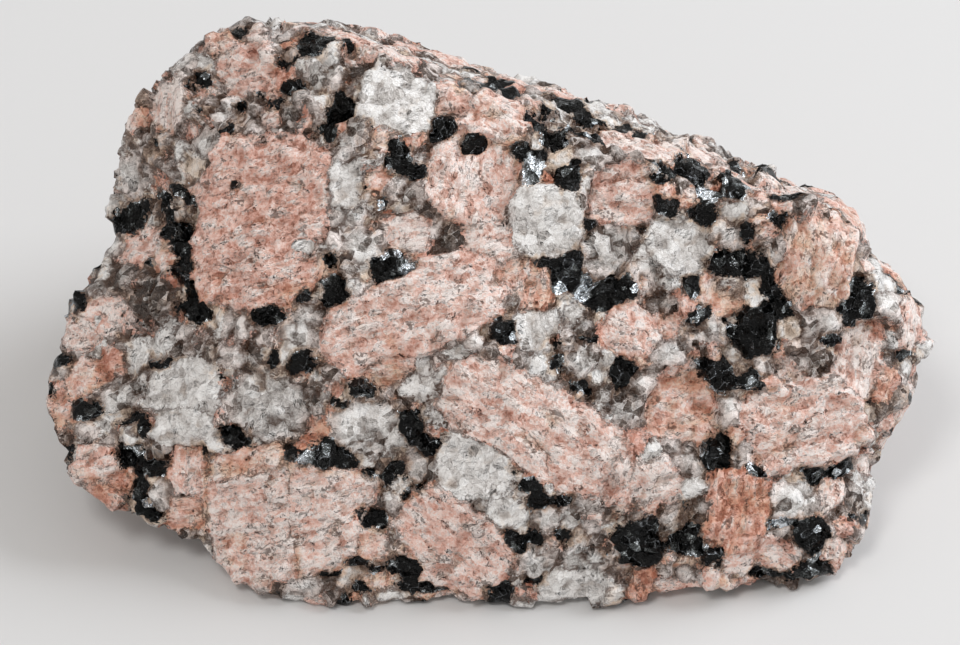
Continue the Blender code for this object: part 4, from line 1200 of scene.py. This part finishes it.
def granite_material(colours):
    """Broken granite: four minerals with clean edges, each with its own grain, gloss and broken facets."""
    graph = Graph("granite")
    rock = Patterns(graph)

    # Whole flakes fall to one side or the other of each border, so crystals meet in small steps.
    stepped = rock.level(flake_b=0.5, crumb_b=0.2, mottle=0.5)
    feldspar_in = rock.feldspar_in + stepped
    white_in = rock.white_in + stepped
    is_feldspar = feldspar_in.rising(0.0, SOFT_EDGE)
    is_white = white_in.rising(0.0, SOFT_EDGE)
    is_mica = rock.level(mica_in=1, crumb_b=0.25, mottle=0.5).rising(0.0, SOFT_EDGE)
    glassy = (1 - is_feldspar - is_mica).clipped()

    colour = graph.mix(is_white, quartz(rock, colours), white_feldspar(rock, colours))
    # Dark seams between some lumps: painted shade in the gaps between them, with dark stain.
    colour = graph.mix(rock.seam * rock.lump_b.rising(-0.2, -0.1) * 0.4, colour, colours.gap_shade_and_stain)
    colour = graph.mix(is_feldspar, colour, pink_feldspar(rock, colours))

    # Rust spreads from its stains, from mica and into what is sunk.
    beside_mica = rock.level(mica_in=1, mottle=1.5).rising(-0.35, 0.7)
    rusty = rock.level(beside_mica * 0.85, stain=1, patch=1.1, mottle=0.6, sunk=0.35).rising(0.62, 0.9)
    colour = graph.mix(rusty * 0.7, colour, colours.rust, "MULTIPLY")

    # Gaps between grains, sunk places and cracks are dark, but not all along: painted shade in the gaps, the
    # sunk places and the cracks, with dark stain in the gaps and cracks.
    edge = abs(feldspar_in)
    for border in (white_in, rock.mica_in, rock.side_a + rock.mottle, rock.side_b + rock.mottle):
        edge = edge.lower_of(abs(border))
    gap = (1 - edge / GAP_WIDTH).clipped() * rock.level(patch=1, speck=0.8).rising(-0.05, 0.15)
    sunk_shade = rock.level(sunk=1, mottle=0.8, speck=0.8).rising(0.6, 0.5)
    sunk_shade = sunk_shade * (0.6 - is_feldspar * 0.35) * (1 - is_white * 0.5)
    colour = graph.mix((gap * 0.8).higher_of(sunk_shade), colour, colours.gap_shade_and_stain)
    crack = (1 - abs(rock.level(crack_off=1, mottle=0.8)) / CRACK_LINE).clipped() * rock.cracked
    crack = crack * rock.level(patch=1, speck=1).rising(-0.04, 0.05)
    colour = graph.mix(crack * 0.8, colour, colours.gap_shade_and_stain)
    colour = graph.mix(is_mica, colour, black_mica(rock, colours))

    # Each lump, flake and crumb has a face of its own, tilted at random.
    leaning = graph.add("ShaderNodeNewGeometry", (), (), "Normal")
    for cell, tilt in (
        (rock.lump, glassy * 1.1 + is_mica * 1.6),
        (rock.flake, 1.15 - glassy * 0.8 - is_mica * 0.8),
        (rock.crumb, 0.55 - glassy * 0.35 - is_mica * 0.45),
    ):
        leaning = graph.vector("ADD", leaning, graph.vector("SCALE", cell, scale=tilt))
    bumped = graph.add("ShaderNodeBump", (), {
        "Strength": 1.0, "Distance": BUMP_HEIGHT * MM, "Normal": graph.vector("NORMALIZE", leaning),
        "Height": rock.speck * 0.4 + graph.noise(rock.place, BUMP_SIZE, detail=0.0) * 0.6,
    })
    shader = graph.add("ShaderNodeBsdfPrincipled", (), {
        "Base Color": colour, "Metallic": is_mica * 0.85, "Normal": bumped, "IOR": 1.5,
        "Roughness": 0.42 - glassy * 0.2 - is_mica * 0.28 + rock.speck * 0.3,
    })
    graph.add("ShaderNodeOutputMaterial", (), {"Surface": shader})
    return graph.material


def floor_material(colours):
    """Smooth pale card."""
    graph = Graph("pale_floor")
    shader = graph.add("ShaderNodeBsdfPrincipled", (), {"Base Color": colours.floor, "Roughness": 0.8})
    graph.add("ShaderNodeOutputMaterial", (), {"Surface": shader})
    return graph.material


def colour_property(name, description, red, green, blue):
    """A colour that a user may change."""
    default = (red, green, blue, 1.0)
    return FloatVectorProperty(
        name=name, description=description, default=default, size=4, min=0, max=1, subtype="COLOR",
    )


def size_property(name, description, default, least=0.0, unit="LENGTH"):
    """A length, or a value with another unit, that a user may change."""
    return FloatProperty(name=name, description=description, default=default, min=least, unit=unit)


class GraniteShape(PropertyGroup):
    """Sizes of the stone's surface."""

    cells: IntVectorProperty(
        name="Cells", description="Cells of the surface grid across, up and through the stone",
        default=(200, 134, 66), min=8,
    )
    grain_size: size_property(
        "Grain size", "Spacing of the small grains between the large crystals", 2.0 * MM, 1.5 * MM,
    )
    groove_depth: size_property("Groove depth", "Depth of the grooves between grains", 0.27 * MM)
    dome_height: size_property("Dome height", "How far the middle of a quartz grain stands out", 0.4 * MM)


class GraniteColours(PropertyGroup):
    """Colours of the minerals and of the floor."""

    deep_pink: colour_property("Deep pink", "Shaded gaps in the pink feldspar", 0.55, 0.235, 0.165)
    pink: colour_property("Pink", "Pink feldspar", 0.82, 0.465, 0.375)
    pale_pink: colour_property("Pale pink", "Bright faces of the pink feldspar", 0.93, 0.655, 0.57)
    blush: colour_property("Blush", "Whitest faces of the pink feldspar", 0.985, 0.88, 0.83)
    white: colour_property("White", "White feldspar and bright quartz", 0.97, 0.95, 0.93)
    milky: colour_property("Milky", "Dull white feldspar", 0.75, 0.715, 0.69)
    grey: colour_property("Grey", "Clear grey quartz", 0.49, 0.46, 0.44)
    dim_grey: colour_property("Dim grey", "Darker grey quartz", 0.16, 0.13, 0.113)
    smoky: colour_property("Smoky", "Smoky brown quartz", 0.04, 0.026, 0.019)
    rust: colour_property("Rust", "Tint of the rust stains", 0.82, 0.59, 0.40)
    # Painted shade in gaps, hollows, sunk places, seams and cracks, mixed with their dark stain.
    gap_shade_and_stain: colour_property("Crevice", "Dark gaps between grains", 0.085, 0.042, 0.026)
    mica: colour_property("Mica", "Black mica", 0.012, 0.012, 0.012)
    # Mica sheen and flake are painted sheen and glint on mica leaves, with the Metallic finish.
    mica_sheen: colour_property("Mica sheen", "Mica that catches some light", 0.13, 0.14, 0.14)
    flake: colour_property("Flake", "Silvery mica flakes", 0.78, 0.83, 0.88)
    floor: colour_property("Floor", "The pale floor", 0.755, 0.755, 0.755)


class GraniteStage(PropertyGroup):
    """Sizes and strengths of the floor, lights and camera."""

    floor_size: size_property("Floor size", "Half the width of the floor", 3.0, 0.2)
    sky: size_property("Sky", "Brightness of the light from all sides", 0.47, unit="NONE")
    key_power: size_property("Key power", "Power of the large soft lamp on the right", 7.1, unit="POWER")
    key_size: size_property("Key size", "Width of the large soft lamp", 0.8, 0.01)
    fill_power: size_property("Fill power", "Power of the weaker lamp on the left", 2.6, unit="POWER")
    fill_size: size_property("Fill size", "Width of the weaker lamp", 0.3, 0.01)
    lens: size_property("Lens", "Focal length in millimetres", 150.0, 10.0, "CAMERA")


class GRANITE_OT_make_stone(Operator):
    """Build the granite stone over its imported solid"""

    bl_idname = "granite.make_stone"
    bl_label = "Make the stone"
    bl_options = {"REGISTER", "UNDO"}

    def execute(self, context):
        points, faces, values = stone_surface(context.scene.granite_shape)
        if not np.isfinite(points).all():
            raise RuntimeError("the stone's surface has points that aren't numbers")
        stone = surface_object("granite_stone", points * MM, faces, values)
        stone.data.materials.append(granite_material(context.scene.granite_colours))
        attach(stone, "root")
        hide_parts("granite")
        return {"FINISHED"}


class GRANITE_OT_set_stage(Operator):
    """Set out the pale floor, the soft light and the camera"""

    bl_idname = "granite.set_stage"
    bl_label = "Set the stage"
    bl_options = {"REGISTER", "UNDO"}

    def execute(self, context):
        scene = context.scene
        stage = scene.granite_stage
        half = stage.floor_size
        corners = [(-half, -half, 0), (half, -half, 0), (half, half, 0), (-half, half, 0)]
        floor = surface_object("floor", corners, [(0, 1, 2, 3)])
        floor.data.materials.append(floor_material(scene.granite_colours))

        world = bpy.data.worlds.new("soft_sky")
        world.use_nodes = True
        background = world.node_tree.nodes["Background"]
        background.inputs["Color"].default_value = SKY_TINT
        background.inputs["Strength"].default_value = stage.sky
        scene.world = world

        for name, place, size, power, colour in (
            ("key", KEY_PLACE, stage.key_size, stage.key_power, KEY_TINT),
            ("fill", FILL_PLACE, stage.fill_size, stage.fill_power, FILL_TINT),
        ):
            lamp = bpy.data.lights.new(name, "AREA")
            lamp.shape = "DISK"
            lamp.size = size
            lamp.energy = power
            lamp.color = colour
            hung = bpy.data.objects.new(name, lamp)
            hung.location = place
            hung.rotation_euler = (Vector(LAMPS_AIM) - hung.location).to_track_quat("-Z", "Y").to_euler()
            scene.collection.objects.link(hung)

        camera = bpy.data.objects.new("camera", bpy.data.cameras.new("camera"))
        camera.data.lens = stage.lens
        camera.data.sensor_width = SENSOR_WIDTH
        camera.data.clip_start = NEAREST_SEEN
        place = from_face([(0, 0, CAMERA_DISTANCE)])[0] * MM
        camera.matrix_world = Matrix.Translation(place) @ Matrix(FACE_AXES).transposed().to_4x4()
        scene.collection.objects.link(camera)
        scene.camera = camera
        scene.view_settings.view_transform = "Standard"
        return {"FINISHED"}


class GRANITE_PT_specimen(Panel):
    """Sizes, colours and buttons of the specimen"""

    bl_label = "Granite hand specimen"
    bl_space_type = "VIEW_3D"
    bl_region_type = "UI"
    bl_category = "Granite"

    def draw(self, context):
        for title, settings, operator in (
            ("Shape", context.scene.granite_shape, None),
            ("Colours", context.scene.granite_colours, GRANITE_OT_make_stone),
            ("Stage", context.scene.granite_stage, GRANITE_OT_set_stage),
        ):
            box = self.layout.box()
            box.label(text=title)
            for name in type(settings).__annotations__:
                box.prop(settings, name)
            if operator:
                box.operator(operator.bl_idname)


CLASSES = (
    GraniteShape, GraniteColours, GraniteStage,
    GRANITE_OT_make_stone, GRANITE_OT_set_stage, GRANITE_PT_specimen,
)


def register():
    """Register the classes and hang their settings on the scene."""
    for made in CLASSES:
        bpy.utils.register_class(made)
    bpy.types.Scene.granite_shape = PointerProperty(type=GraniteShape)
    bpy.types.Scene.granite_colours = PointerProperty(type=GraniteColours)
    bpy.types.Scene.granite_stage = PointerProperty(type=GraniteStage)


def unregister():
    """Take the settings and the classes away again."""
    del bpy.types.Scene.granite_stage
    del bpy.types.Scene.granite_colours
    del bpy.types.Scene.granite_shape
    for made in reversed(CLASSES):
        bpy.utils.unregister_class(made)


def main():
    """Build the stone and its stage."""
    register()
    bpy.ops.granite.set_stage()
    bpy.ops.granite.make_stone()


if __name__ == "__main__":
    main()
